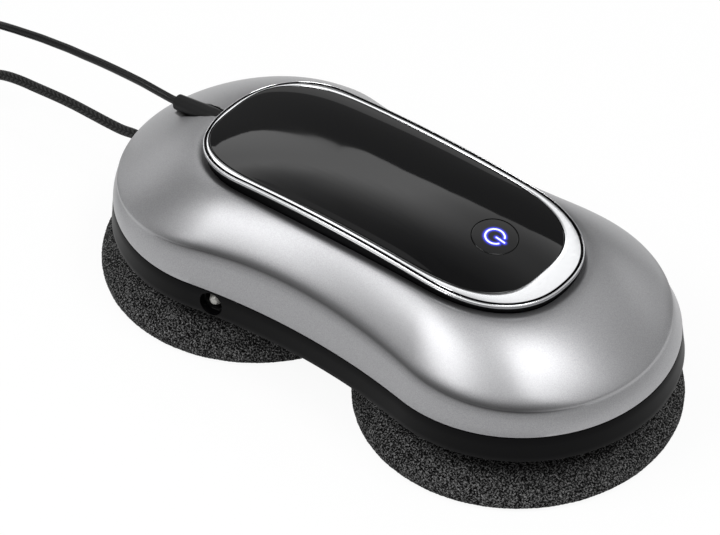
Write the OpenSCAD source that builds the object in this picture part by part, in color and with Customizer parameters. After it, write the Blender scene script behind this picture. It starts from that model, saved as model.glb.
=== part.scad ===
// Window cleaning robot: two turning suction discs under a figure-8 body.
// +X points to the end with the power button, +Z up, z = 0 is the floor under the pads.

/* [Cleaning discs] */
// Outer diameter of one microfibre pad
pad_d = 146.4; // [141:0.2:156]
// Gap between the two pads
pad_gap = 0.6; // [0.4:0.2:4]
// Thickness of a pad
pad_t = 11; // [9:0.5:12]
// Diameter of the suction opening in a pad
pad_bore_d = 64; // [56:1:72]
// Radius of the pad's soft rim
pad_rim_r = 3; // [2:0.25:3.75]
// Width of the pad's hem on top of the wheel
hem_w = 9; // [6:0.5:12]
// Thickness of the hem
hem_t = 1.2; // [0.8:0.1:1.6]
// How far a pad reaches past its plastic wheel
pad_margin = 11.2; // [9:0.2:14]
// Thickness of the wheel's plate
wheel_t = 3; // [2:0.25:4]
// Outer diameter of the wheel's hub tube
hub_d = 32; // [28:0.5:34]
// Wall of the hub tube
hub_wall = 3; // [2:0.25:4]
// Number of ribs on a wheel
wheel_ribs = 12; // [8:1:16]

/* [Body outline] */
// Diameter of each round end of the body
lobe_d = 138.6; // [134:0.2:141]
// How far the centre of a round end sits inside the disc's
lobe_in = 1.35; // [0.5:0.05:2.5]
// Width of the body at its waist
waist_w = 125.4; // [118:0.2:130]
// How far the body sits towards the button end
body_shift = 3.6; // [2:0.2:5]
// Height of the black band's lower edge
band_z = 29.2; // [28.2:0.1:30.2]
// Height of the silver shell's lower edge
shell_z = 42.1; // [41.6:0.1:44]
// How far the band flares out at its lower edge
band_flare = 1.3; // [0:0.1:2]
// Wall of the shell and the band
body_wall = 2.4; // [1.8:0.1:3]
// Gap between the shell and the band
seam = 0.35; // [0.2:0.05:0.6]

/* [Top shell] */
// Height of the skirt at the button end
skirt_front = 9.8; // [8:0.1:12]
// Height of the skirt at the cord end
skirt_rear = 6.8; // [5.5:0.1:9]
// Height of the skirt at the waist
skirt_waist = 16.7; // [14:0.1:19]
// How far the skirt leans in at the button end
lean_front = 4; // [3:0.1:5]
// How far the skirt leans in at the cord end
lean_rear = 1.2; // [0.8:0.1:3]
// How far the skirt leans in at the waist
lean_waist = 6.8; // [5:0.1:8]
// Depth of the crease above the skirt
crease_depth = 1.1; // [0.4:0.1:1.6]
// Height of the crease
crease_h = 3; // [2:0.25:4]
// Angle that the dome turns through, in degrees
dome_turn = 52; // [40:1:65]
// How much lower the shell's rim is at the waist
rim_dip = 4.3; // [2:0.1:5]

/* [Top panel] */
// Length of the glossy panel
panel_len = 174.4; // [168:0.2:178]
// Width of the glossy panel
panel_w = 69; // [66:0.1:71]
// Thickness of the panel
panel_t = 2.4; // [1.8:0.1:3]
// Height of the panel's middle
panel_z = 90.4; // [89.4:0.1:92]
// Rise of the panel's middle above its edge
panel_rise = 4.6; // [3:0.1:5]
// Radius of the body's bow along its length
crown_r = 690; // [620:5:900]
// Length of the panel's round ends
panel_end = 53; // [46:0.5:58]

/* [Chrome bezel] */
// Width of the bezel along the sides
bezel_side = 3.45; // [3:0.05:4]
// Width of the bezel at the button end
bezel_front = 12; // [9:0.25:13]
// Width of the bezel at the cord end
bezel_rear = 3; // [2.4:0.1:4]
// Length of the bezel's straight sides
bezel_straight = 100; // [94:1:104]
// Height of the bezel's outer wall
bezel_drop = 2.8; // [2:0.1:3.2]
// How far the bezel overhangs its foot
bezel_overhang = 1.5; // [1:0.1:1.7]
// How far the bezel's foot reaches below the shell's rim
bezel_tuck = 2; // [1:0.25:3]

/* [Power button] */
// Diameter of the button
button_d = 21; // [18:0.5:22]
// Distance of the button from the middle of the panel
button_x = 61.2; // [56:0.1:63]
// Travel of the button
button_travel = 0.8; // [0.4:0.1:1]
// Diameter of the power symbol
symbol_d = 9.6; // [8:0.2:11]
// Width of the symbol's line
symbol_line = 1.3; // [0.9:0.1:1.6]

/* [Side socket] */
// Diameter of the hole in the band
port_d = 11.4; // [10:0.2:11.8]
// Height of the socket's axis
port_z = 35.4; // [35.2:0.1:35.8]
// Diameter inside the socket
socket_d = 9.6; // [8.6:0.2:10]
// Depth of the socket
socket_depth = 10; // [8:0.5:12]
// Diameter of the contact pin at its root
socket_pin_d = 5; // [3.4:0.2:5.2]
// Length of the contact pin
socket_pin_len = 6.5; // [4:0.5:7.5]

/* [Suction] */
// Diameter of the fan's impeller
fan_d = 54; // [46:1:56]
// Height of the fan's impeller
fan_h = 9; // [7:0.5:9]
// Number of fan blades
fan_blades = 11; // [7:1:13]
// Diameter of the fan shaft
fan_shaft_d = 3; // [2:0.5:4]
// Width of the air duct
duct_w = 26; // [22:1:27]
// Height of the air duct
duct_h = 12; // [9:0.5:12]
// Wall of the duct and the fan housing
duct_wall = 1.6; // [1.2:0.1:2]
// Diameter of the fan motor
fan_motor_d = 25; // [22:0.5:25.5]
// Height of the fan motor
fan_motor_h = 17; // [13:0.5:18]

/* [Disc drive] */
// Gear module
gear_module = 1.15; // [1.1:0.01:1.2]
// Teeth on the wheel's gear
gear_teeth = 42; // [41:1:43]
// Teeth on the motor's pinion
pinion_teeth = 14; // [13:1:15]
// Width of the gears
gear_w = 6.5; // [5:0.25:7]
// Play between the teeth at the pitch line
gear_play = 0.5; // [0.4:0.05:0.7]
// Diameter of the pinion's shaft
pinion_shaft_d = 4; // [3:0.25:5]
// Direction of each motor from its wheel's axis, in degrees
motor_turn = 62; // [58:1:66]
// Diameter of a drive motor
motor_d = 24.4; // [22:0.2:25]
// Height of a drive motor with its gearbox
motor_h = 27; // [22:0.5:28]
// Radial play of a turning fit
turning_play = 0.05; // [0.03:0.01:0.09]

/* [Power and control] */
// Diameter of one battery cell
cell_d = 18; // [14:0.5:18]
// Length of the battery cells
cell_len = 60; // [50:1:64]
// Length of the main board
board_len = 60; // [50:1:64]
// Width of the main board
board_w = 20; // [16:0.5:21]
// Thickness of the circuit boards
board_t = 1.6; // [1.2:0.1:2]
// Diameter of a case screw
screw_d = 3; // [2.5:0.1:3.4]
// Length of a case screw
screw_len = 8; // [6:0.5:9]

/* [Cord and rope] */
// Diameter of the power cord
cord_d = 3.8; // [3.6:0.1:4]
// Turns in the power cord's coil
cord_turns = 6; // [4:2:8]
// Diameter of the cord's coil at the middle of its turns
cord_coil_d = 44; // [42:1:48]
// Diameter of the safety rope
rope_d = 4.8; // [4.4:0.1:5]
// Turns in the rope's coil
rope_turns = 20; // [12:4:20]
// Diameter of the rope's coil at the middle of its turns
rope_coil_d = 57; // [55:1:62]
// Gap between the turns of a coil
turn_gap = 0.45; // [0.42:0.01:0.6]
// Diameter of the cord's plug body
plug_d = 11.6; // [10:0.2:12]
// Diameter of the plug's metal sleeve
sleeve_d = 5.5; // [4:0.1:6]
// Length of the plug's metal sleeve
sleeve_len = 9.5; // [8:0.5:12]

/* [Hidden] */

$fn = 72;
// Extra length of a cut past a face
over = 1;
// Gap between pieces that sit on each other
seat = 0.1;
// Gap between pieces that are fitted side by side
side_gap = 0.3;

// Body outline, over the two discs
disc_x = (pad_d + pad_gap) / 2;
lobe_r = lobe_d / 2;
lobe_x = disc_x - lobe_in;
waist = waist_w / 2;
end_steps = 26;
side_steps = 10;
stations = [
    for (part = [0:3])
        let (n = part % 2 == 0 ? end_steps : side_steps)
            for (i = [0:n - 1]) [part, i / n]
];

// Discs, from the floor up
pad_r = pad_d / 2;
wheel_r = pad_r - pad_margin;
hub_r = hub_d / 2;
wheel_z = pad_t;
web_t = 2.4;
shoulder_d = 38;
plate_z = band_z + seam;
plate_t = 2.8;
plate_top = plate_z + plate_t;
bearing_wall = 4;
bearing_flange = 3;
bearing_flange_t = 1.2;
bearing_z = plate_z - bearing_flange_t;
bearing_top = plate_top + bearing_flange_t + side_gap;
gear_z = bearing_top + side_gap;
gear_top = gear_z + gear_w;
rib_t = 1.6;
rib_h = 4;

// Gears
gear_addendum_share = 0.85;
gear_dedendum_share = 1.15;
gear_pressure = 20;
gear_pitch_r = gear_module * gear_teeth / 2;
pinion_pitch_r = gear_module * pinion_teeth / 2;
gear_distance = gear_pitch_r + pinion_pitch_r;
gear_web = 3;

// Fan and duct, standing on the base plate
fan_play = 1.5;
fan_back_t = 1.4;
fan_hub_d = 10;
fan_eye_d = 20;
fan_blade_t = 1.1;
fan_volute = 3;
fan_housing_d = fan_d + 2 * fan_play + 2 * duct_wall + 2 * fan_volute;
fan_z = plate_top + seat + 2 * fan_play;
fan_housing_top = fan_z + fan_back_t + fan_h + fan_play + duct_wall;
vent_w = 3;
vent_count = 7;
vent_len = 22;
duct_z = fan_housing_top + seat;
hub_gap = side_gap + seat;
duct_end_r = hub_r + hub_gap + duct_wall;
duct_top = duct_z + duct_h;
collar_depth = 3;
hub_top = duct_z - collar_depth / 3;
fan_motor_z = duct_top + seat;
fan_motor_top = fan_motor_z + fan_motor_h;
motor_boss_d = 8;
motor_boss_h = 2;

// Drive motors
stand_h = gear_top + side_gap - plate_top;
stand_wall = 2;
stand_d = motor_d + stand_wall;
motor_z = plate_top + stand_h + seat;
gearbox_h = 8;

// Panel and bezel
panel_half = panel_len / 2;
panel_b = panel_w / 2;
panel_round_share = 2.92;
bezel_round_share = 2.32;
cushion_power = 3;

// Button
button_share = button_x / panel_half;
cushion_slope = cushion_power * panel_rise * pow(button_share, cushion_power - 1) / panel_half;
button_tilt = atan(button_x / crown_r + cushion_slope);
button_sink = 0.2;
button_cap_t = 2.2;
button_board_rim = 4.4;
button_stem_d = 5;
button_stem_len = 1.6;
switch_size = 6;
switch_h = 3.4;
switch_nub_d = 3.4;
switch_nub_h = 1;
symbol_depth = 0.8;
symbol_gap = 60;
button_board_d = button_d + 2 * button_board_rim;
board_post_d = 3.6;

// Strain relief
boot_z = 67.6;
boot_len = 30;
boot_taper_share = 0.7;
boot_root_d = 9.6;
boot_tip_d = 7.4;
boot_gap = 0.5;
boot_tilt = 4;
boot_tip_x = -panel_half - bezel_rear - boot_len + side_gap;

// Rope gland
rope_gland_z = 33.3;
rope_route_z = 35.4;
gland_flange_d = 8;
gland_flange_t = 1.6;
gland_neck_d = 6.2;
gland_neck_len = band_flare + body_wall + seat;
gland_x = body_shift - lobe_x - lobe_r - band_flare - seat;

// Socket, seen from above
port_share = 0.621;
port_x = port_share * lobe_x;

// Screws
screw_head_d = 5;
screw_head_h = 1.4;
screw_sink = 1.6;
screw_edge = 0.9;
screw_boss_d = 9;
screw_inset = body_wall + 2 * side_gap + screw_head_d / 2 + screw_edge;
screw_seats = [[0, 0.16], [0, 0.5], [0, 0.84], [1, 0.5], [2, 0.16], [2, 0.36], [2, 0.64], [2, 0.84], [3, 0.5]];

// Coils, and the routes of the free stretches before and after them
cord_layers = 2;
rope_layers = 4;
cord_reach = 202;
cord_aside = 45;
cord_coil_x = boot_tip_x - cord_reach;
rope_reach = 142;
rope_aside = 45;
rope_coil_x = gland_x - rope_reach;
cord_route_share = [
    [0.059, 0, 0.999], [0.104, 0, 1.003], [0.148, 0, 1], [0.193, 0, 0.994],
    [0.238, 0, 0.985], [0.282, 0, 0.972], [0.327, 0, 0.96], [0.371, 0, 0.943],
    [0.416, 0, 0.923], [0.46, 0, 0.898], [0.505, 0, 0.872], [0.549, 0.002, 0.836],
    [0.594, 0.006, 0.789], [0.639, 0.013, 0.728], [0.683, 0.023, 0.644], [0.723, 0.034, 0.548],
    [0.757, 0.044, 0.449], [0.787, 0.052, 0.353], [0.817, 0.061, 0.257], [0.847, 0.07, 0.17],
    [0.881, 0.079, 0.099], [0.921, 0.085, 0.05]
];
cord_tail_share = [
    [-0.295, -0.654, 1.632], [-0.432, -0.732, 1.579], [-0.545, -0.795, 1.579]
];
cord_end_share = [-0.6818, -0.8182, 1.5789];
rope_route_share = [
    [0.072, 0, 0.939], [0.121, 0, 0.902], [0.185, 0, 0.89], [0.263, 0, 0.89],
    [0.341, 0, 0.886], [0.419, 0, 0.868], [0.497, 0, 0.837], [0.575, 0, 0.804],
    [0.646, 0, 0.742], [0.71, -0.001, 0.632], [0.766, -0.004, 0.485], [0.823, -0.01, 0.319],
    [0.88, -0.017, 0.16]
];
rope_tail_share = [
    [-0.316, 0.726, 3.771], [-0.474, 0.674, 3.667], [-0.632, 0.579, 3.458], [-0.772, 0.43, 2.917],
    [-0.86, 0.228, 2.042], [-0.886, 0.018, 1.25], [-0.868, -0.175, 0.792], [-0.807, -0.368, 0.583],
    [-0.702, -0.544, 0.5], [-0.561, -0.693, 0.5], [-0.395, -0.798, 0.5], [-0.246, -0.86, 0.5]
];
rope_end_share = [-0.0351, -0.8772, 0.5000];
function route_point(p, from, reach, h) = [from - reach * p[0], reach * p[1], h * p[2]];
function tail_point(p, x, y, across, d) = [x + across * p[0], y + across * p[1], d * p[2]];
cord_route = [for (p = cord_route_share) route_point(p, boot_tip_x, cord_reach, boot_z)];
rope_route = [for (p = rope_route_share) route_point(p, gland_x, rope_reach, rope_route_z)];
cord_tail_route = [for (p = cord_tail_share) tail_point(p, cord_coil_x, cord_aside, cord_coil_d, cord_d)];
rope_tail_route = [for (p = rope_tail_share) tail_point(p, rope_coil_x, -rope_aside, rope_coil_d, rope_d)];
cord_tail_end = tail_point(cord_end_share, cord_coil_x, cord_aside, cord_coil_d, cord_d);
rope_tail_end = tail_point(rope_end_share, rope_coil_x, -rope_aside, rope_coil_d, rope_d);
cord_sides = 8;
coil_sides = 6;
cord_coil_steps = 24;
rope_coil_steps = 20;
plug_len = 22;
plug_neck_len = 8;
plug_neck_share = [1.5, 2.2];
sleeve_bore_share = 0.4;
sleeve_shank_share = 0.8;
plug_face_gap = 1;
ferrule_len = 14;
loop_r = 11;
loop_reach = 26;

// Basic helpers
function smooth(t) = let (c = min(1, max(0, t))) c * c * (3 - 2 * c);
function signed_pow(a, e) = sign(a) * pow(abs(a), e);
function unit(v) = v / norm(v);
function mix(a, b, t) = a + (b - a) * t;

// Outline of the body: two round ends joined by two hollow curves
function waist_curve(r, w) = (lobe_x * lobe_x + w * w - r * r) / (2 * (r - w));
function body_point(station, inset) =
    let (
        f = station[1],
        r = lobe_r - inset,
        w = waist - inset,
        q = waist_curve(r, w),
        a = atan2(w + q, lobe_x),
        e = 180 - a,
        t = station[0] == 0 ? mix(-e, e, f) :
            station[0] == 1 ? mix(-a, a - 180, f) :
            station[0] == 2 ? mix(180 - e, 180 + e, f) :
            mix(180 - a, a, f),
        p = station[0] == 0 ? [lobe_x + r * cos(t), r * sin(t)] :
            station[0] == 1 ? [q * cos(t), w + q + q * sin(t)] :
            station[0] == 2 ? [-lobe_x + r * cos(t), r * sin(t)] :
            [q * cos(t), -(w + q) + q * sin(t)]
    )
    [p[0] + body_shift, p[1]];

// Outline of the panel and the bezel: straight sides and blunt round ends
function pill_point(station, straight, front, rear, b, round_share) =
    let (
        f = station[1],
        t = -90 + 180 * f,
        c = signed_pow(cos(t), 2 / round_share),
        s = signed_pow(sin(t), 2 / round_share)
    )
    station[0] == 0 ? [straight + (front - straight) * c, b * s] :
    station[0] == 1 ? [mix(straight, -straight, f), b] :
    station[0] == 2 ? [-straight - (rear - straight) * c, -b * s] :
    [mix(-straight, straight, f), -b];
function panel_point(station, grow) =
    pill_point(station, panel_half - panel_end, panel_half + grow, panel_half + grow, panel_b + grow,
        panel_round_share);
function bezel_point(station, grow) =
    pill_point(station, bezel_straight / 2, panel_half + bezel_front + grow, panel_half + bezel_rear + grow,
        panel_b + bezel_side + grow, bezel_round_share);

// Height of the bowed edge round the panel, and of the cushion inside it
function edge_height(x) = panel_z - panel_rise - x * x / (2 * crown_r);
function cushion(x, share) = edge_height(x) + panel_rise * (1 - pow(share, cushion_power));

// Shell surface: a skirt, a crease and a dome that runs up to the bezel
dome_share = 0.42;
dome_front_share = 0.5;
dome_rear_share = 0.55;
dome_waist_share = 0.88;
waist_sink = 3;
middle_share = 0.184;
skirt_reach_share = 2.08;
rim_reach_share = 1.8;
crease_front_share = [1.6, 2.02];
crease_rear_share = [0.69, 1.32];
middle_x = -middle_share * lobe_x;
rim_depth = body_wall + side_gap;
function near_waist(x) = 1 - smooth(abs(x - body_shift) / lobe_x);
function near_end(x) = smooth((abs(x - body_shift) - lobe_x) / lobe_r);
function by_middle(x, reach_share) = 1 - smooth(abs(x - middle_x) / (reach_share * lobe_x));
function skirt_height(x) =
    mix(x > middle_x ? skirt_front : skirt_rear, skirt_waist, by_middle(x, skirt_reach_share));
function skirt_lean(x) =
    mix(x > middle_x ? lean_front : lean_rear, lean_waist, by_middle(x, skirt_reach_share));
function crease_fade(x) =
    let (range_share = x > 0 ? crease_front_share : crease_rear_share)
        1 - smooth((abs(x) / lobe_x - range_share[0]) / (range_share[1] - range_share[0]));
function rim_height(x) = edge_height(x) - bezel_drop - side_gap - rim_dip * by_middle(x, rim_reach_share);
function shell_point(station, row) =
    let (
        low = body_point(station, 0),
        top = bezel_point(station, side_gap - bezel_overhang),
        k = skirt_height(low[0]),
        lean = skirt_lean(low[0]),
        foot = body_point(station, lean),
        valley = body_point(station, lean + crease_depth * crease_fade(low[0])),
        end_share = low[0] > 0 ? dome_front_share : dome_rear_share,
        share = mix(mix(dome_share, end_share, near_end(low[0])), dome_waist_share, near_waist(low[0])),
        foot_z = shell_z + k + crease_h / 2,
        t = row - 3,
        across = pow((1 - cos(t * dome_turn)) / (1 - cos(dome_turn)), share),
        up = sin(t * dome_turn) / sin(dome_turn),
        sag = waist_sink * near_waist(low[0]) * sin(180 * t),
        xy = mix(foot, top, across)
    )
    row == 0 ? [low[0], low[1], shell_z] :
    row == 1 ? let (m = body_point(station, lean / 2)) [m[0], m[1], shell_z + k / 2] :
    row == 2 ? [valley[0], valley[1], shell_z + k - crease_h / 2] :
    [xy[0], xy[1], mix(foot_z, rim_height(top[0]), up) - sag];
outer_rows = [0, 1, 2, 3, 3.08, 3.2, 3.35, 3.5, 3.65, 3.8, 3.92, 4];
inner_rows = [4, 3.8, 3.5, 3.2, 3, 1, 0];

// Point under the outer surface, one wall further in
function shell_normal(station, row) =
    let (
        step = 0.02,
        back = [station[0], max(0, station[1] - step)],
        ahead = [station[0], min(1, station[1] + step)],
        down = row < 3 ? max(0, row - step) : max(3, row - step),
        high = row < 3 ? row + step : min(4, row + step)
    )
    unit(cross(shell_point(ahead, row) - shell_point(back, row),
        shell_point(station, row >= 3 ? high : row) - shell_point(station, row >= 3 ? down : row)));
function shell_inside(station, row) =
    row == 4 ? shell_point(station, row) - [0, 0, rim_depth] :
    row < 3 ?
        let (
            x = body_point(station, 0)[0],
            p = body_point(station, body_wall + skirt_lean(x) * row / 2)
        )
            [p[0], p[1], shell_z + skirt_height(x) * row / 2] :
        shell_point(station, row) - body_wall * shell_normal(station, row);

// Faces of a closed band of rows, each row with one point per station
function band_faces(rows, n) = [
    for (r = [0:rows - 1], s = [0:n - 1])
        let (a = r * n, b = ((r + 1) % rows) * n, s2 = (s + 1) % n)
            each [[a + s, b + s, b + s2], [a + s, b + s2, a + s2]]
];
module band(rows) {
    polyhedron(points = [for (row = rows) each row], faces = band_faces(len(rows), len(rows[0])));
}

// Faces of rows stacked from a bottom centre point to a top centre point
function stack_faces(rows, n) = concat(
    [
        for (r = [0:rows - 2], s = [0:n - 1])
            let (a = r * n, b = a + n, s2 = (s + 1) % n)
                each [[a + s, b + s, b + s2], [a + s, b + s2, a + s2]]
    ],
    [for (s = [0:n - 1]) [rows * n, s, (s + 1) % n]],
    [for (s = [0:n - 1]) let (a = (rows - 1) * n) [rows * n + 1, a + (s + 1) % n, a + s]]
);
module stack(rows, bottom, top) {
    polyhedron(points = concat([for (row = rows) each row], [bottom, top]),
        faces = stack_faces(len(rows), len(rows[0])));
}

// Tube swept along a line of points
function heading(line, i) =
    i == 0 ? unit(line[1] - line[0]) :
    i == len(line) - 1 ? unit(line[i] - line[i - 1]) :
    unit(unit(line[i + 1] - line[i]) + unit(line[i] - line[i - 1]));
function tube_ring(line, i, r, n) =
    let (t = heading(line, i), side = unit(cross(t, [0, 0, 1])), up = cross(side, t))
        [for (k = [0:n - 1]) let (a = 90 + 360 * k / n) line[i] + r * (cos(a) * side + sin(a) * up)];
module tube(line, d, n) {
    last = len(line) - 1;
    polyhedron(
        points = [for (i = [0:last]) each tube_ring(line, i, d / 2, n)],
        faces = concat(
            [
                for (i = [0:last - 1], k = [0:n - 1])
                    let (a = i * n, b = a + n, k2 = (k + 1) % n)
                        each [[a + k, a + k2, b + k2], [a + k, b + k2, b + k]]
            ],
            [for (k = [1:n - 2]) [0, k + 1, k]],
            [for (k = [1:n - 2]) [last * n, last * n + k, last * n + k + 1]]
        )
    );
}

// Piled coil: spirals in and out again, climbing one layer where it reverses
function layer_turns(turns, layers) = turns / layers;
function coil_radius(t, turns, layers, coil_d, pitch) =
    let (n = layer_turns(turns, layers), u = t / n, into = u - 2 * floor(u / 2), fold = into <= 1 ? into : 2 - into)
        coil_d / 2 + n * pitch * (0.5 - fold);
function coil_height(t, turns, layers, pitch) =
    let (n = layer_turns(turns, layers))
        pitch * (layers == 1 ? 0 : sum_of([for (k = [1:layers - 1]) smooth((t - k * n) * 2 + 0.5)]));
function sum_of(v) = v * [for (i = v) 1];
function coil_line(x, y, turns, layers, coil_d, d, way, start, steps) =
    let (
        pitch = d + turn_gap,
        body = [
            for (i = [0:turns * steps])
                let (t = i / steps, a = start + way * 360 * t, r = coil_radius(t, turns, layers, coil_d, pitch))
                    [x + r * cos(a), y + r * sin(a), d / 2 + coil_height(t, turns, layers, pitch)]
        ],
        lead = way * [-sin(start), cos(start), 0]
    )
    concat([body[0] - d * lead], body, [body[len(body) - 1] + d * lead]);
function least_gap(line, steps, d) =
    min([
        for (i = [0:2:len(line) - 1], j = [i + floor(steps / 2):1:len(line) - 1])
            norm(line[i] - line[j])
    ]) - d;
cord_coil_line = coil_line(cord_coil_x, cord_aside, cord_turns, cord_layers, cord_coil_d, cord_d, -1, -90,
    cord_coil_steps);
rope_coil_line = coil_line(rope_coil_x, -rope_aside, rope_turns, rope_layers, rope_coil_d, rope_d, 1, 90,
    rope_coil_steps);

// Gear outline with involute flanks
function roll_angle(r, base) = r <= base ? 0 : let (t = sqrt(r * r / (base * base) - 1)) t * 180 / PI - atan(t);
function gear_outline(teeth) =
    let (
        pitch_r = gear_module * teeth / 2,
        base = pitch_r * cos(gear_pressure),
        tip = pitch_r + gear_module * gear_addendum_share,
        root = pitch_r - gear_module * gear_dedendum_share,
        half = 90 / teeth - gear_play / 4 / pitch_r * 180 / PI + roll_angle(pitch_r, base),
        levels = [root, max(root, base), pitch_r, tip]
    )
    [
        for (i = [0:teeth - 1])
            let (c = 360 * i / teeth)
                each concat(
                    [for (r = levels) let (a = c - half + roll_angle(r, base)) r * [cos(a), sin(a)]],
                    [for (k = [3:-1:0]) let (r = levels[k], a = c + half - roll_angle(r, base)) r * [cos(a), sin(a)]]
                )
    ];
module gear(teeth) {
    linear_extrude(gear_w) polygon(gear_outline(teeth));
}

// Flat figure-8 plate outline, with true arcs
module body_outline(inset) {
    r = lobe_r - inset;
    w = waist - inset;
    q = waist_curve(r, w);
    a = atan2(w + q, lobe_x);
    x = q * cos(a);
    y = w + q - q * sin(a);
    translate([body_shift, 0]) {
        for (side = [-1, 1])
            translate([side * lobe_x, 0]) circle(r, $fn = 120);
        difference() {
            polygon([[-x, -y], [x, -y], [x, y], [-x, y]]);
            for (side = [-1, 1])
                translate([0, side * (w + q)]) circle(q, $fn = 240);
        }
    }
}

// Places that pieces share
module at_disc(side) {
    translate([side * disc_x, 0, 0]) children();
}
function motor_way(side) = side > 0 ? 180 - motor_turn : motor_turn;
module at_motor(side) {
    turn = motor_way(side);
    translate([side * disc_x + gear_distance * cos(turn), gear_distance * sin(turn), 0]) children();
}
module at_button() {
    translate([button_x, 0, cushion(button_x, button_share)])
        rotate([0, button_tilt, 0])
            translate([0, 0, -button_sink]) children();
}
module at_screws() {
    for (s = screw_seats)
        let (p = body_point(s, screw_inset))
            translate([p[0], p[1], 0]) children();
}
module at_port() {
    q = waist_curve(lobe_r, waist);
    x = port_x + body_shift;
    translate([-port_x, sqrt(q * q - x * x) - waist - q, port_z])
        rotate([90, 0, asin(x / q)]) children();
}
module at_boot() {
    translate([boot_tip_x, 0, boot_z]) rotate([0, 90 - boot_tilt, 0]) children();
}
module ring(outer_d, inner_d, h) {
    difference() {
        cylinder(d = outer_d, h = h);
        translate([0, 0, -over]) cylinder(d = inner_d, h = h + 2 * over);
    }
}

// Casing
module top_shell() {
    color([0.66, 0.66, 0.68])
        difference() {
            band(concat(
                [for (row = outer_rows) [for (s = stations) shell_point(s, row)]],
                [for (row = inner_rows) [for (s = stations) shell_inside(s, row)]]
            ));
            at_boot()
                translate([0, 0, -over])
                    cylinder(d = boot_root_d + 2 * boot_gap, h = boot_len + 2 * over);
        }
}

module base_band() {
    band_top = shell_z - seam;
    lip_z = band_z + (band_top - band_z) / 2;
    color([0.09, 0.09, 0.1])
        difference() {
            union() {
                band([
                    [for (s = stations) let (p = body_point(s, -band_flare)) [p[0], p[1], band_z]],
                    [for (s = stations) let (p = body_point(s, -band_flare / 2)) [p[0], p[1], lip_z]],
                    [for (s = stations) let (p = body_point(s, 0)) [p[0], p[1], band_top]],
                    [for (s = stations) let (p = body_point(s, body_wall)) [p[0], p[1], band_top]],
                    [for (s = stations) let (p = body_point(s, body_wall)) [p[0], p[1], lip_z]],
                    [for (s = stations) let (p = body_point(s, body_wall)) [p[0], p[1], band_z]]
                ]);
                at_screws()
                    translate([0, 0, plate_top + seat]) cylinder(d = screw_boss_d, h = band_top - plate_top - seat);
            }
            at_screws()
                translate([0, 0, plate_z])
                    cylinder(d = screw_d + 2 * turning_play, h = screw_sink + screw_len + screw_edge);
            at_port()
                translate([0, 0, -body_wall - side_gap / 2])
                    cylinder(d = port_d, h = body_wall + side_gap / 2 + band_flare + over);
            translate([gland_x, 0, rope_gland_z])
                rotate([0, 90, 0]) cylinder(d = gland_neck_d + 2 * side_gap, h = gland_neck_len + over);
        }
}

module base_plate() {
    color([0.13, 0.13, 0.14])
        translate([0, 0, plate_z])
            difference() {
                linear_extrude(plate_t) body_outline(body_wall + side_gap);
                for (side = [-1, 1])
                    at_disc(side)
                        translate([0, 0, -over]) cylinder(r = hub_r + bearing_wall, h = plate_t + 2 * over);
                for (side = [-1, 1], i = [0:vent_count - 1])
                    translate([(i - (vent_count - 1) / 2) * vent_w * 2 - vent_w / 2,
                        side * fan_housing_d / 4 - vent_len / 2, -over])
                        cube([vent_w, vent_len, plate_t + 2 * over]);
                at_screws()
                    translate([0, 0, -over]) cylinder(d = screw_d + 2 * side_gap, h = plate_t + 2 * over);
                at_screws()
                    translate([0, 0, -over]) cylinder(d = screw_head_d + 2 * side_gap, h = screw_sink + over);
                translate([0, 0, -plate_z])
                    at_port()
                        translate([-socket_block_w / 2 - side_gap, plate_z - port_z - over,
                            -body_wall - 2 * side_gap - socket_len])
                            cube([socket_block_w + 2 * side_gap, plate_t + 2 * over, socket_len + 2 * body_wall]);
            }
}

// Top panel and its bezel
panel_rows_share = [0.15, 0.3, 0.45, 0.6, 0.72, 0.83, 0.92, 0.98, 1];
module top_panel() {
    last = len(panel_rows_share) - 2;
    edge_round = panel_t / 4;
    color([0.03, 0.03, 0.035])
        difference() {
            stack(
                concat(
                    [for (share = panel_rows_share) [for (s = stations) panel_face(s, share, panel_t)]],
                    [for (k = [len(panel_rows_share) - 1:-1:0])
                        [for (s = stations) panel_face(s, panel_rows_share[k], k > last ? edge_round : 0)]]
                ),
                [0, 0, panel_z - panel_t],
                [0, 0, panel_z]
            );
            at_button()
                translate([0, 0, -panel_t - over]) cylinder(d = button_d, h = panel_t + 3 * over);
        }
}
function panel_face(station, share, drop) =
    let (p = share * panel_point(station, 0)) [p[0], p[1], cushion(p[0], share) - drop];

module chrome_bezel() {
    color([0.86, 0.87, 0.88])
        band([
            [for (s = stations) bezel_foot(bezel_point(s, -bezel_overhang))],
            [for (s = stations) bezel_row(bezel_point(s, -bezel_overhang), 1)],
            [for (s = stations) bezel_row(bezel_point(s, 0), 1)],
            [for (s = stations) bezel_row(bezel_point(s, 0), groove_share[0])],
            [for (s = stations) bezel_row(bezel_point(s, -groove), groove_share[0])],
            [for (s = stations) bezel_row(bezel_point(s, -groove), groove_share[1])],
            [for (s = stations) bezel_row(bezel_point(s, 0), groove_share[1])],
            [for (s = stations) bezel_row(bezel_point(s, -groove), 0)],
            [for (s = stations) bezel_row(bezel_middle(s), -groove_share[1] / 2)],
            [for (s = stations) bezel_row(panel_point(s, side_gap), 0)],
            [for (s = stations) bezel_foot(panel_point(s, side_gap))]
        ]);
}
groove = 0.35;
groove_share = [0.7, 0.5];
function bezel_row(p, share) = [p[0], p[1], edge_height(p[0]) - share * bezel_drop];
function bezel_foot(p) = [p[0], p[1], rim_height(p[0]) - bezel_tuck];
function bezel_middle(station) = mix(panel_point(station, side_gap), bezel_point(station, -groove), 1 / 2);

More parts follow.
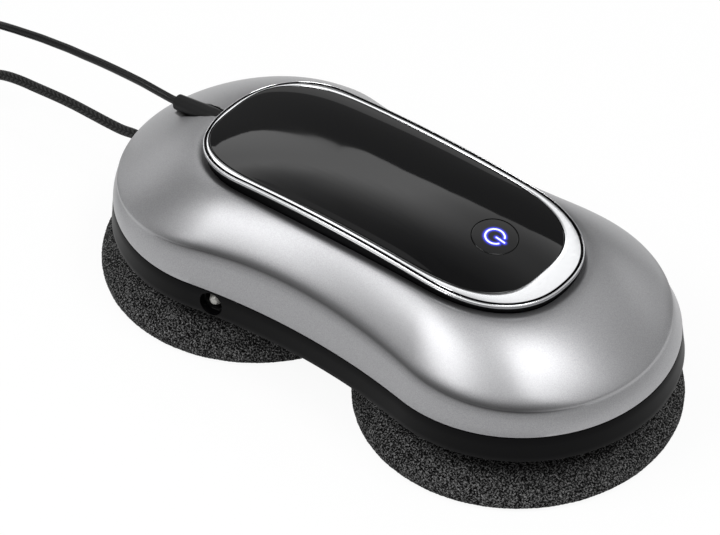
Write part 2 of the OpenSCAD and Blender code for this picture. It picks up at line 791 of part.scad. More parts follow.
// Power button, carried by a switch on its own board
module symbol_shape(grow) {
    difference() {
        circle(d = symbol_d + grow);
        circle(d = symbol_d - 2 * symbol_line - grow);
        polygon([[0, 0], symbol_d * [cos(symbol_gap / 2), sin(symbol_gap / 2)],
            symbol_d * [cos(symbol_gap / 2), -sin(symbol_gap / 2)]]);
    }
    translate([symbol_d * symbol_bar_share[0] - grow / 2, -symbol_line / 2 - grow / 2])
        square([symbol_d * symbol_bar_share[1] + grow, symbol_line + grow]);
}
symbol_bar_share = [0.06, 0.5];
module power_button() {
    color([0.04, 0.04, 0.045])
        at_button()
            difference() {
                union() {
                    translate([0, 0, -button_cap_t]) cylinder(d = button_d - 2 * side_gap, h = button_cap_t);
                    translate([0, 0, -button_cap_t - button_stem_len])
                        cylinder(d = button_stem_d, h = button_stem_len + seat);
                }
                translate([0, 0, -symbol_depth]) linear_extrude(symbol_depth + over) symbol_shape(seat);
            }
}
module power_symbol() {
    color([0.35, 0.38, 0.95])
        at_button()
            translate([0, 0, -symbol_depth]) linear_extrude(symbol_depth) symbol_shape(0);
}
switch_top = button_cap_t + button_stem_len + button_travel + side_gap;
module button_board() {
    depth = switch_top + switch_nub_h + switch_h + seat;
    color([0.05, 0.3, 0.16])
        at_button() {
            translate([0, 0, -depth - board_t]) cylinder(d = button_board_d, h = board_t);
            for (a = [45:90:315])
                rotate([0, 0, a])
                    translate([button_board_d / 2 - board_post_d / 2 - side_gap, 0, -depth])
                        cylinder(d = board_post_d, h = depth - panel_t - 2 * side_gap);
        }
}
module button_switch() {
    color([0.55, 0.55, 0.56])
        at_button()
            translate([0, 0, -switch_top - switch_nub_h - switch_h]) {
                translate([-switch_size / 2, -switch_size / 2, 0]) cube([switch_size, switch_size, switch_h]);
                cylinder(d = switch_nub_d, h = switch_h + switch_nub_h);
            }
}

// Socket in the side of the band
socket_wall = 1.7;
socket_block_w = socket_d + 2 * socket_wall;
socket_len = socket_depth + body_wall;
module side_socket() {
    low = plate_z - port_z;
    high = shell_z - seam - side_gap - port_z;
    color([0.12, 0.12, 0.13])
        at_port()
            translate([0, 0, -body_wall - side_gap - socket_len])
                difference() {
                    translate([-socket_block_w / 2, low, 0]) cube([socket_block_w, high - low, socket_len]);
                    translate([0, 0, body_wall]) cylinder(d = socket_d, h = socket_depth + over);
                }
}
module socket_pin() {
    color([0.62, 0.62, 0.6])
        at_port()
            translate([0, 0, -side_gap - socket_len])
                cylinder(d1 = socket_pin_d, d2 = socket_pin_d * pin_tip_share, h = socket_pin_len);
}
pin_tip_share = 0.6;

// Where the cord and the rope leave the body
module strain_relief() {
    color([0.05, 0.05, 0.055])
        at_boot() {
            cylinder(d1 = boot_tip_d, d2 = boot_root_d, h = boot_len * boot_taper_share);
            translate([0, 0, boot_len * boot_taper_share])
                cylinder(d = boot_root_d, h = boot_len * (1 - boot_taper_share));
        }
}
module rope_grommet() {
    color([0.05, 0.05, 0.05])
        translate([gland_x - gland_flange_t, 0, rope_gland_z])
            rotate([0, 90, 0]) {
                cylinder(d = gland_flange_d, h = gland_flange_t);
                cylinder(d = gland_neck_d, h = gland_flange_t + gland_neck_len);
            }
}

// Cleaning discs
module wheel(side) {
    web_z = wheel_z + wheel_t;
    color([0.16, 0.16, 0.17])
        at_disc(side) {
            rotate_extrude()
                polygon([
                    [hub_r - hub_wall, wheel_z], [wheel_r, wheel_z], [wheel_r, web_z],
                    [shoulder_d / 2 + web_t, web_z],
                    [shoulder_d / 2, bearing_z - side_gap], [hub_r, bearing_z - side_gap], [hub_r, hub_top],
                    [hub_r - hub_wall, hub_top]
                ]);
            for (i = [0:wheel_ribs - 1])
                rotate([0, 0, 360 * i / wheel_ribs])
                    translate([shoulder_d / 2 + web_t / 2, -rib_t / 2, web_z - seat])
                        cube([wheel_r - hem_w - side_gap - shoulder_d / 2 - web_t, rib_t, rib_h]);
        }
}
module pad(side) {
    inner = pad_bore_d / 2;
    shoulder = wheel_r + seat;
    rim = pad_r - pad_rim_r;
    hem_z = wheel_z + wheel_t + seat;
    color([0.14, 0.14, 0.14])
        at_disc(side)
            rotate_extrude($fn = 120) {
                polygon([[inner, 0], [rim, 0], [rim, 2 * pad_rim_r], [shoulder + hem_t, hem_z],
                    [shoulder - hem_t, hem_z + hem_t], [shoulder - hem_w, hem_z + hem_t], [shoulder - hem_w, hem_z],
                    [shoulder, hem_z], [shoulder, pad_t], [inner, pad_t]]);
                translate([rim, pad_rim_r]) circle(pad_rim_r, $fn = 24);
            }
}
module wheel_gear(side) {
    color([0.85, 0.84, 0.8])
        at_disc(side)
            translate([0, 0, gear_z])
                difference() {
                    rotate([0, 0, motor_way(side)]) gear(gear_teeth);
                    translate([0, 0, -over]) cylinder(d = hub_d, h = gear_w + 2 * over);
                }
}
module bearing(side) {
    color([0.72, 0.6, 0.38])
        at_disc(side)
            rotate_extrude()
                polygon([
                    [hub_r + turning_play, bearing_z], [hub_r + bearing_wall + bearing_flange, bearing_z],
                    [hub_r + bearing_wall + bearing_flange, plate_z], [hub_r + bearing_wall, plate_z],
                    [hub_r + bearing_wall, bearing_top], [hub_r + turning_play, bearing_top]
                ]);
}
module pinion(side) {
    color([0.8, 0.79, 0.76])
        at_motor(side) {
            translate([0, 0, gear_z])
                rotate([0, 0, motor_way(side) + 180 + 180 / pinion_teeth]) gear(pinion_teeth);
            translate([0, 0, gear_z - side_gap])
                cylinder(d = pinion_shaft_d, h = gear_w + side_gap + stand_gap + gearbox_h);
        }
}
stand_gap = 2 * seat;
module drive_motor(side) {
    color([0.6, 0.61, 0.63])
        at_motor(side)
            translate([0, 0, motor_z])
                difference() {
                    union() {
                        cylinder(d = motor_d, h = gearbox_h);
                        translate([0, 0, gearbox_h]) cylinder(d = motor_d - 2 * stand_wall, h = motor_h - gearbox_h);
                    }
                    translate([0, 0, -over])
                        cylinder(d = pinion_shaft_d + 2 * turning_play, h = gearbox_h + over + side_gap);
                }
}
module motor_stand(side) {
    gear_clear_r = gear_pitch_r + gear_module + over;
    color([0.2, 0.2, 0.21])
        difference() {
            at_motor(side)
                translate([0, 0, plate_top + seat])
                    ring(stand_d, stand_d - 2 * stand_wall, stand_h - seat);
            at_disc(side)
                translate([0, 0, plate_top]) cylinder(r = gear_clear_r, h = stand_h + over);
        }
}

// Suction
module fan_housing() {
    top = fan_housing_top;
    low = plate_top + seat;
    color([0.17, 0.17, 0.18]) {
        difference() {
            translate([0, 0, low]) cylinder(d = fan_housing_d, h = top - low);
            translate([0, 0, low - over])
                cylinder(d = fan_housing_d - 2 * duct_wall, h = top - low - duct_wall + over);
            translate([0, 0, top - duct_wall - over]) cylinder(d = fan_eye_d, h = duct_wall + 2 * over);
        }
        for (x = [-1, 1], foot_share = board_feet_share)
            translate([x * foot_share[0] * fan_housing_d / 2, foot_share[1] * fan_housing_d / 2, top - seat])
                cylinder(d = board_foot_d, h = board_lift);
    }
}
board_foot_d = 3.6;
board_feet_share = [[0.7, 0.55], [0.25, 0.88]];
board_gap = 2;
board_y = duct_w / 2 + board_gap;
board_lift = 2;
blade_sweep = 50;
module fan_blade() {
    steps = 6;
    function blade_line(i) =
        let (t = i / steps, r = mix(fan_hub_d / 2, fan_d / 2 - fan_blade_t, t), a = blade_sweep * t * t)
            r * [cos(a), sin(a)];
    function blade_side(i) =
        let (a = blade_line(i + 1) - blade_line(i)) unit([-a[1], a[0]]) * fan_blade_t / 2;
    polygon(concat(
        [for (i = [0:steps - 1]) blade_line(i) + blade_side(i)],
        [for (i = [steps - 1:-1:0]) blade_line(i) - blade_side(i)]
    ));
}
module fan_impeller() {
    color([0.75, 0.76, 0.78])
        translate([0, 0, fan_z])
            difference() {
                union() {
                    cylinder(d = fan_d, h = fan_back_t);
                    cylinder(d = fan_hub_d, h = fan_back_t + fan_h);
                    for (i = [0:fan_blades - 1])
                        rotate([0, 0, 360 * i / fan_blades])
                            linear_extrude(fan_back_t + fan_h) fan_blade();
                }
                translate([0, 0, -over]) cylinder(d = fan_shaft_d, h = fan_back_t + fan_h + 2 * over);
            }
}
module fan_shaft() {
    color([0.7, 0.7, 0.72])
        translate([0, 0, fan_z]) cylinder(d = fan_shaft_d, h = fan_motor_z + fan_motor_h / 2 - fan_z);
}
module fan_motor() {
    color([0.55, 0.56, 0.58])
        translate([0, 0, fan_motor_z])
            difference() {
                union() {
                    cylinder(d = fan_motor_d, h = fan_motor_h - motor_boss_h);
                    cylinder(d = motor_boss_d, h = fan_motor_h);
                }
                translate([0, 0, -over])
                    cylinder(d = fan_shaft_d + 2 * turning_play, h = fan_motor_h / 2 + over + side_gap);
            }
}
module duct_shape(inset) {
    square([2 * disc_x, duct_w - 2 * inset], center = true);
    for (side = [-1, 1])
        translate([side * disc_x, 0]) circle(duct_end_r - inset);
}
module air_duct() {
    color([0.2, 0.2, 0.21])
        difference() {
            union() {
                translate([0, 0, duct_z]) linear_extrude(duct_h) duct_shape(0);
                for (side = [-1, 1])
                    at_disc(side)
                        translate([0, 0, duct_z - collar_depth]) cylinder(r = duct_end_r, h = collar_depth + over);
            }
            translate([0, 0, duct_z + duct_wall]) linear_extrude(duct_h - 2 * duct_wall) duct_shape(duct_wall);
            for (side = [-1, 1])
                at_disc(side)
                    translate([0, 0, duct_z - collar_depth - over])
                        cylinder(r = hub_r + hub_gap, h = collar_depth + duct_wall + 2 * over);
            translate([0, 0, duct_z - over]) cylinder(d = fan_eye_d, h = duct_wall + 2 * over);
            translate([0, 0, duct_top - duct_wall - over])
                cylinder(d = fan_shaft_d + 2 * side_gap, h = duct_wall + 2 * over);
        }
}

// Power and control
battery_y = -duct_w / 2 - board_gap - cell_d / 2;
module battery_pack() {
    z = fan_housing_top + seat + cell_d / 2;
    color([0.2, 0.45, 0.3])
        translate([-cell_len / 2, 0, 0]) {
            for (i = [0, 1])
                translate([0, battery_y - i * cell_d, z]) rotate([0, 90, 0]) cylinder(d = cell_d, h = cell_len);
            translate([0, battery_y - cell_d, z - cell_d / 4]) cube([cell_len, cell_d, cell_d / 2]);
        }
}
module main_board() {
    color([0.05, 0.35, 0.18])
        translate([-board_len / 2, board_y, fan_housing_top + board_lift])
            cube([board_len, board_w, board_t]);
}
chip_share = 0.4;
chip_low_share = 0.2;
chip_step_share = 0.7;
module board_parts() {
    z = fan_housing_top + board_lift + board_t + seat;
    chip = board_w * chip_share;
    color([0.1, 0.1, 0.11])
        translate([0, board_y, z]) {
            translate([-chip, board_w / 4, 0]) cube([chip, chip, chip * chip_low_share]);
            for (i = [0:3])
                translate([chip * (chip_step_share * i + chip_low_share) - board_len / 2 + chip / 2, chip, 0])
                    cylinder(d = chip / 2, h = chip);
            translate([board_len / 2 - 2 * chip, chip_low_share * chip, 0])
                cube([2 * chip * chip_step_share, chip, chip * chip_step_share]);
        }
}
module case_screws() {
    color([0.3, 0.3, 0.31])
        at_screws() {
            translate([0, 0, plate_z + screw_sink - screw_head_h]) cylinder(d = screw_head_d, h = screw_head_h);
            translate([0, 0, plate_z + screw_sink]) cylinder(d = screw_d, h = screw_len);
        }
}

// Power cord with its plug
boot_tip = [boot_tip_x, 0, boot_z];
boot_way = [-cos(boot_tilt), 0, -sin(boot_tilt)];
cord_coil_end = cord_coil_line[len(cord_coil_line) - 1];
module power_cord() {
    color([0.05, 0.05, 0.055])
        tube(concat([boot_tip, boot_tip + cord_d * boot_way], cord_route,
            [cord_coil_line[0] + [cord_d, 0, 0], cord_coil_line[0]]), cord_d, cord_sides);
}
module power_cord_tail() {
    color([0.05, 0.05, 0.055])
        tube(concat([cord_coil_end, cord_coil_end - [cord_d, 0, 0]], cord_tail_route,
            [cord_tail_end + [cord_d, 0, 0], cord_tail_end]), cord_d, cord_sides);
}
module power_cord_coil() {
    echo(str("Least gap in the power cord's coil: ", least_gap(cord_coil_line, cord_coil_steps, cord_d)));
    color([0.05, 0.05, 0.055]) tube(cord_coil_line, cord_d, coil_sides);
}
module plug_body() {
    color([0.06, 0.06, 0.065])
        translate(cord_tail_end)
            rotate([0, -90, 0])
                difference() {
                    union() {
                        cylinder(d1 = cord_d * plug_neck_share[0], d2 = cord_d * plug_neck_share[1], h = plug_neck_len);
                        translate([0, 0, plug_neck_len]) cylinder(d = plug_d, h = plug_len - plug_neck_len);
                    }
                    translate([0, 0, plug_len - sleeve_len / 2])
                        cylinder(d = sleeve_d * sleeve_shank_share, h = sleeve_len);
                }
}
module plug_sleeve() {
    shank_len = sleeve_len / 2 + plug_face_gap;
    color([0.8, 0.8, 0.82])
        translate(cord_tail_end)
            rotate([0, -90, 0])
                translate([0, 0, plug_len - sleeve_len / 2])
                    difference() {
                        union() {
                            cylinder(d = sleeve_d * sleeve_shank_share, h = shank_len);
                            translate([0, 0, shank_len]) cylinder(d = sleeve_d, h = sleeve_len);
                        }
                        translate([0, 0, -over])
                            cylinder(d = sleeve_d * sleeve_bore_share, h = shank_len + sleeve_len + 2 * over);
                    }
}

// Safety rope with the loop at its end
gland_face = [gland_x - gland_flange_t, 0, rope_gland_z];
rope_coil_end = rope_coil_line[len(rope_coil_line) - 1];
module safety_rope() {
    color([0.07, 0.07, 0.07])
        tube(concat([gland_face, gland_face - [rope_d, 0, 0]], rope_route,
            [rope_coil_line[0] + [rope_d, 0, 0], rope_coil_line[0]]), rope_d, cord_sides);
}
module safety_rope_coil() {
    echo(str("Least gap in the safety rope's coil: ", least_gap(rope_coil_line, rope_coil_steps, rope_d)));
    color([0.07, 0.07, 0.07]) tube(rope_coil_line, rope_d, coil_sides);
}
module safety_rope_tail() {
    color([0.07, 0.07, 0.07])
        tube(concat([rope_coil_end, rope_coil_end - [rope_d, 0, 0]], rope_tail_route,
            [rope_tail_end - [rope_d, 0, 0], rope_tail_end]), rope_d, cord_sides);
}
module rope_ferrule() {
    color([0.75, 0.75, 0.77])
        translate(rope_tail_end)
            rotate([90, 0, 90])
                linear_extrude(ferrule_len) {
                    square([rope_d, rope_d], center = true);
                    for (side = [-1, 1])
                        translate([side * rope_d / 2, 0]) circle(d = rope_d);
                }
}
module rope_loop() {
    color([0.07, 0.07, 0.07])
        translate(rope_tail_end + [ferrule_len, 0, 0]) {
            translate([loop_reach, 0, 0])
                difference() {
                    rotate_extrude() translate([loop_r, 0]) circle(d = rope_d, $fn = 16);
                    translate([-loop_r - rope_d, -loop_r - rope_d, -rope_d])
                        cube([loop_r + rope_d, 2 * (loop_r + rope_d), 2 * rope_d]);
                }
            for (side = [-1, 1])
                loop_leg(side);
        }
}
function leg_point(side, t) =
    [t * loop_reach, side * mix((rope_d + turn_gap) / 2, loop_r, smooth((leg_steps * t - 1) / (leg_steps - 1))), 0];
module loop_leg(side) {
    tube([for (i = [0:leg_steps]) leg_point(side, i / leg_steps)], rope_d, 2 * cord_sides);
}
leg_steps = 6;

top_shell();
base_band();
base_plate();
top_panel();
chrome_bezel();
power_button();
power_symbol();
button_board();
button_switch();
side_socket();
socket_pin();
strain_relief();
rope_grommet();
wheel(1);  // front_wheel
wheel(-1);  // rear_wheel
pad(1);  // front_pad
pad(-1);  // rear_pad
wheel_gear(1);  // front_wheel_gear
wheel_gear(-1);  // rear_wheel_gear
bearing(1);  // front_bearing
bearing(-1);  // rear_bearing
pinion(1);  // front_pinion
pinion(-1);  // rear_pinion
drive_motor(1);  // front_motor
drive_motor(-1);  // rear_motor
motor_stand(1);  // front_motor_stand
motor_stand(-1);  // rear_motor_stand
fan_housing();
fan_impeller();
fan_shaft();
fan_motor();
air_duct();
battery_pack();
main_board();
board_parts();
case_screws();
power_cord();
power_cord_coil();
power_cord_tail();
plug_body();
plug_sleeve();
safety_rope();
safety_rope_coil();
safety_rope_tail();
rope_ferrule();
rope_loop();
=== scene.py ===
import bpy
import bmesh
from math import asin, atan, atan2, copysign, cos, degrees, exp, floor, hypot, pi, radians, sin, sqrt
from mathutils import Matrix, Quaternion, Vector, noise


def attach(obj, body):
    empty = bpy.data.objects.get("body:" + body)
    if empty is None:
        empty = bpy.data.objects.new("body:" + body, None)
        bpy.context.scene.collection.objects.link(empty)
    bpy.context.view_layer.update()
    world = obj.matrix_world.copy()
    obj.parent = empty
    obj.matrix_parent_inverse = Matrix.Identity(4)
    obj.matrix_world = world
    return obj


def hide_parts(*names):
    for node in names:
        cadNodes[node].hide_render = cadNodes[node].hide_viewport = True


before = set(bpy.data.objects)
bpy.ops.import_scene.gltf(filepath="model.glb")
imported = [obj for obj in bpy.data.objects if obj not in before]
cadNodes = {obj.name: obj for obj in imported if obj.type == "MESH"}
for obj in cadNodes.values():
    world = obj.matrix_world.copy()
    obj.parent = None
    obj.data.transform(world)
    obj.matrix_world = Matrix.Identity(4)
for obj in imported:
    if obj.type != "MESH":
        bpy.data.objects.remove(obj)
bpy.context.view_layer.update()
mm = 0.001
sharpFrom = {"shell": 40, "cap": 50, "tube": 60}  # degrees from which an edge stays sharp


# small helpers

def linear(hexColour):
    parts = [int(hexColour[i:i + 2], 16) / 255 for i in (1, 3, 5)]
    return [c / 12.92 if c <= 0.04045 else ((c + 0.055) / 1.055) ** 2.4 for c in parts] + [1.0]


def link(tree, node, **sources):
    # a source is an output, or a node's first output; in0, in1 and in2 mean the input of that number
    for key, source in sources.items():
        name = key.replace("_", " ")
        output = source.outputs[0] if hasattr(source, "outputs") else source
        tree.links.new(output, node.inputs[int(name[2:]) if name[2:].isdigit() else name])


def addNode(tree, kind, settings=None, **sources):
    # settings are attributes, input sockets or a ramp's stops, and colours are hex values
    new = tree.nodes.new("ShaderNode" + kind)
    for key, value in (settings or {}).items():
        if isinstance(value, str) and value.startswith("#"):
            value = linear(value)
        if key == "stops":
            for stop, (position, tone) in zip(new.color_ramp.elements, value):
                stop.position, stop.color = position, linear(tone)
        elif isinstance(key, str) and hasattr(new, key):
            setattr(new, key, value)
        else:
            new.inputs[key].default_value = value
    link(tree, new, **sources)
    return new


def startMaterial(name, settings=None):
    material = bpy.data.materials.new(name)
    material.use_nodes = True
    tree = material.node_tree
    tree.nodes.clear()
    shader = addNode(tree, "BsdfPrincipled", settings)
    output = addNode(tree, "OutputMaterial", Surface=shader)
    return material, tree, shader, output


def addGrain(tree, shader, size, settings, rough=None, relief=None):
    # grain of about size mm; rough is a range of roughness, relief a strength and a depth in mm
    place = addNode(tree, "TexCoord")
    grain = addNode(tree, "TexNoise", {"Scale": 1 / (size * mm), **settings},
                    Vector=place.outputs["Object"])
    if rough:
        spread = addNode(tree, "MapRange", {"To Min": rough[0], "To Max": rough[1]}, Value=grain)
        link(tree, shader, Roughness=spread)
    if relief:
        bump = addNode(tree, "Bump", {"Strength": relief[0], "Distance": relief[1] * mm}, Height=grain)
        link(tree, shader, Normal=bump)
    return grain


def mix(a, b, t):
    return a + (b - a) * t


def mixPoint(a, b, t):
    return tuple(mix(p, q, t) for p, q in zip(a, b))


def smooth(t):
    c = min(1.0, max(0.0, t))
    return c * c * (3 - 2 * c)


def signedPower(a, e):
    return copysign(abs(a) ** e, a)


def lookUp(table, at):
    # the value at a place between the table's rows
    for (a, p), (b, q) in zip(table, table[1:]):
        if at <= b:
            return mix(p, q, max(0.0, (at - a) / (b - a)))
    return table[-1][1]


def circlePoints(centre, side, other, radius, count):
    return [centre + (side * cos(a) + other * sin(a)) * radius
            for a in (2 * pi * k / count for k in range(count))]


def bandFaces(rowCount, pointCount, closed=True):
    faces = []
    for r in range(rowCount if closed else rowCount - 1):
        low, high = r * pointCount, ((r + 1) % rowCount) * pointCount
        for s in range(pointCount):
            t = (s + 1) % pointCount
            faces.append((low + s, low + t, high + t, high + s))
    return faces


def cappedFaces(rowCount, pointCount):
    # a stack of rings with a flat face at each end
    last = (rowCount - 1) * pointCount
    return bandFaces(rowCount, pointCount, closed=False) + [
        tuple(range(pointCount - 1, -1, -1)), tuple(range(last, last + pointCount))]


def addObject(name, data):
    thing = bpy.data.objects.new(name, data)
    bpy.context.scene.collection.objects.link(thing)
    return thing


def aim(thing, back, roll=0.0):
    # turn a camera or lamp so that its back faces along back
    thing.rotation_mode = "QUATERNION"
    thing.rotation_quaternion = (-back).to_track_quat("-Z", "Y") @ Quaternion((0, 0, 1), radians(roll))


def storeValues(mesh, name, values):
    # one number at each point, for the material to read
    mesh.attributes.new(name, "FLOAT", "POINT").data.foreach_set("value", values)


def shadeSmooth(piece, angle):
    mesh = piece.data
    mesh.polygons.foreach_set("use_smooth", [True] * len(mesh.polygons))
    if angle is not None:
        mesh.set_sharp_from_angle(angle=radians(angle))


def makePiece(name, points, faces, material, body, smoothAngle, uvs=None):
    # points are millimetres in the shared frame
    mesh = bpy.data.meshes.new(name)
    mesh.from_pydata([(x * mm, y * mm, z * mm) for x, y, z in points], [], faces)
    if uvs:
        layer = mesh.uv_layers.new(name="UVMap")
        for loop in mesh.loops:
            layer.data[loop.index].uv = uvs[loop.vertex_index]
    made = bmesh.new()
    made.from_mesh(mesh)
    bmesh.ops.recalc_face_normals(made, faces=made.faces)
    made.to_mesh(mesh)
    made.free()
    piece = addObject(name, mesh)
    mesh.materials.append(material)
    shadeSmooth(piece, smoothAngle)
    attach(piece, body)
    return piece


def makeBand(name, rows, material, body, smoothAngle):
    # a closed ring of rows, such as a shell with a wall
    return makePiece(name, [p for row in rows for p in row], bandFaces(len(rows), len(rows[0])), material,
                     body, smoothAngle)


def roundTool(centre, way, radius, start, end, sides=96):
    # a cylinder along way, used only to cut
    way = Vector(way).normalized()
    side = way.orthogonal().normalized()
    points = []
    for d in (start, end):
        points += circlePoints(Vector(centre) + way * d, side, way.cross(side), radius, sides)
    mesh = bpy.data.meshes.new("tool")
    mesh.from_pydata([tuple(p * mm) for p in points], [], cappedFaces(2, sides))
    return addObject("tool", mesh)


def cutWith(piece, tools, smoothAngle):
    for tool in tools:
        cut = piece.modifiers.new("cut", "BOOLEAN")
        cut.object = tool
        cut.operation = "DIFFERENCE"
        cut.solver = "EXACT"
    depsgraph = bpy.context.evaluated_depsgraph_get()
    result = bpy.data.meshes.new_from_object(piece.evaluated_get(depsgraph))
    piece.modifiers.clear()
    piece.data = result
    for tool in tools:
        bpy.data.objects.remove(tool)
    shadeSmooth(piece, smoothAngle)


def splineThrough(points, steps):
    # centripetal Catmull-Rom line through every point
    line = [Vector(p) for p in points]
    line = [line[0] * 2 - line[1]] + line + [line[-1] * 2 - line[-2]]
    shortest = 1e-6
    result = []
    for i in range(1, len(line) - 2):
        near = line[i - 1:i + 3]
        at = [0.0]
        for p, q in zip(near, near[1:]):
            at.append(at[-1] + max(shortest, (q - p).length ** 0.5))
        for k in range(steps):
            t = mix(at[1], at[2], k / steps)
            a = [mix(near[j], near[j + 1], (t - at[j]) / (at[j + 1] - at[j])) for j in range(3)]
            b = [mix(a[j], a[j + 1], (t - at[j]) / (at[j + 2] - at[j])) for j in range(2)]
            result.append(mix(b[0], b[1], (t - at[1]) / (at[2] - at[1])))
    result.append(line[-2])
    return result


# camera

cameraView = {
    "target": (-31.456, 18.58, 3.0), "azimuth": 40.717, "elevation": 42.272, "roll": -1.907,
    "distance": 2034.4, "lens": 225.0, "sensor": 36.0, "clip": (0.05, 50)}


def makeCamera(view):
    azimuth, elevation = radians(view["azimuth"]), radians(view["elevation"])
    back = Vector((sin(azimuth) * cos(elevation), -cos(azimuth) * cos(elevation), sin(elevation)))
    camera = bpy.data.cameras.new("camera")
    camera.lens = view["lens"]
    camera.sensor_width = view["sensor"]
    camera.clip_start, camera.clip_end = view["clip"]
    holder = addObject("camera", camera)
    holder.location = (Vector(view["target"]) + back * view["distance"]) * mm
    aim(holder, back, view["roll"])
    bpy.context.scene.camera = holder


makeCamera(cameraView)
print("stage: camera")


# power cord and safety rope

# gap is between turns, turnSteps are points in a turn, lineSteps points between two of a route
coilShape = {"gap": 0.45, "turnSteps": 24, "lineSteps": 4}
powerCord = {
    "diameter": 3.8, "sides": 14, "turns": 6, "layers": 2, "coilAcross": 44.0, "centre": (-321.9, 45.0),
    "way": -1, "start": -90.0, "bootTip": (-119.9, 0.0, 67.6), "bootTilt": 4.0,
    "route": [(-131.8, 0, 67.5), (-140.9, 0, 67.8), (-149.8, 0, 67.6), (-158.9, 0, 67.2), (-168, 0, 66.6),
        (-176.9, 0, 65.7), (-186, 0, 64.9), (-194.8, 0, 63.7), (-203.9, 0, 62.4), (-212.8, 0, 60.7),
        (-221.9, 0, 58.9), (-230.8, 0.4, 56.5), (-239.9, 1.2, 53.3), (-249, 2.6, 49.2),
        (-257.9, 4.6, 43.5), (-265.9, 6.9, 37), (-272.8, 8.9, 30.4), (-278.9, 10.5, 23.9),
        (-284.9, 12.3, 17.4), (-291, 14.1, 11.5), (-297.9, 16, 6.7), (-305.9, 17.2, 3.4)],
    "tail": [(-334.9, 16.2, 6.2), (-340.9, 12.8, 6), (-345.9, 10, 6)], "tailEnd": (-351.9, 9, 6),
    "tailWay": -1}
safetyRope = {
    "diameter": 4.8, "sides": 16, "turns": 20, "layers": 4, "coilAcross": 57.0, "centre": (-281.25, -45.0),
    "way": 1, "start": 90.0, "gland": (-140.85, 0.0, 33.3),
    "route": [(-149.5, 0, 33.2), (-156.4, 0, 31.9), (-165.5, 0, 31.5), (-176.6, 0, 31.5),
        (-187.7, 0, 31.4), (-198.7, 0, 30.7), (-209.8, 0, 29.6), (-220.9, 0, 28.5), (-231, 0, 26.3),
        (-240.1, -0.1, 22.4), (-248, -0.6, 17.2), (-256.1, -1.4, 11.3), (-264.2, -2.4, 5.7)],
    "tail": [(-299.3, -3.6, 18.1), (-308.3, -6.6, 17.6), (-317.3, -12, 16.6), (-325.3, -20.5, 14),
        (-330.3, -32, 9.8), (-331.8, -44, 6), (-330.7, -55, 3.8), (-327.2, -66, 2.8), (-321.3, -76, 2.4),
        (-313.2, -84.5, 2.4), (-303.8, -90.5, 2.4), (-295.3, -94, 2.4)],
    "tailEnd": (-283.25, -95, 2.4), "tailWay": 1, "ferrule": 14.0, "loopRadius": 11.0, "loopReach": 26.0,
    "legSteps": 12}


def coilLine(cord):
    # flat layers of turns, wound in and out by turns, with a climb between them
    pitch = cord["diameter"] + coilShape["gap"]
    perLayer = cord["turns"] / cord["layers"]
    steps = coilShape["turnSteps"]
    points = []
    for i in range(cord["turns"] * steps + 1):
        t = i / steps
        u = t / perLayer
        into = u - 2 * floor(u / 2)
        fold = into if into <= 1 else 2 - into
        radius = cord["coilAcross"] / 2 + perLayer * pitch * (0.5 - fold)
        climb = sum(smooth((t - k * perLayer) * 2 + 0.5) for k in range(1, cord["layers"]))
        a = radians(cord["start"] + cord["way"] * 360 * t)
        x, y = cord["centre"]
        points.append(Vector((x + radius * cos(a), y + radius * sin(a),
                              cord["diameter"] / 2 + climb * pitch)))
    lead = Vector((-1, 0, 0)) * cord["diameter"]
    return [points[0] - lead] + points + [points[-1] + lead]


def cordLine(cord, firstPoints):
    # out of the body, along its route, round the coil and out to its end
    d = Vector((cord["diameter"], 0, 0))
    coil = coilLine(cord)
    route = firstPoints + [Vector(p) for p in cord["route"]] + [coil[0] + d, coil[0]]
    end = Vector(cord["tailEnd"])
    after = [coil[-1], coil[-1] - d] + [Vector(p) for p in cord["tail"]] + [end - d * cord["tailWay"], end]
    steps = coilShape["lineSteps"]
    return splineThrough(route, steps)[:-1] + coil + splineThrough(after, steps)[1:]


def lineLength(line):
    return sum((b - a).length for a, b in zip(line, line[1:]))


def tubePiece(name, line, cord, material):
    # a tube of quads whose UV runs along it in millimetres and once round it
    radius, sides = cord["diameter"] / 2, cord["sides"]
    points, uvs, faces = [], [], []
    travelled = 0.0
    side = None
    for i, p in enumerate(line):
        heading = (line[min(i + 1, len(line) - 1)] - line[max(i - 1, 0)]).normalized()
        if side is None:
            side = heading.cross(Vector((0, 0, 1))).normalized()
        side = (side - heading * side.dot(heading)).normalized()
        if i:
            travelled += (p - line[i - 1]).length
        circle = circlePoints(p, side, side.cross(heading), radius, sides)
        points += circle + circle[:1]
        uvs += [(travelled, k / sides) for k in range(sides + 1)]
    ring = sides + 1
    for i in range(len(line) - 1):
        for a in range(i * ring, i * ring + sides):
            faces.append((a, a + 1, a + 1 + ring, a + ring))
    last = (len(line) - 1) * ring
    faces += [tuple(range(sides - 1, -1, -1)), tuple(range(last, last + sides))]
    return makePiece(name, points, faces, material, "housing", sharpFrom["tube"], uvs)


# black PVC jacket: extruded, so it is smooth with a soft sheen along it
def pvcMaterial(grainSize=1.11):
    material, tree, shader, _ = startMaterial("extrudedPvc", {
        "Base Color": "#070708", "Roughness": 0.36, "IOR": 1.53, "Specular IOR Level": 0.3})
    # the die leaves far finer marks; at this size they just break the sheen
    addGrain(tree, shader, grainSize, {"Detail": 2.0}, relief=(0.08, 0.2))
    return material


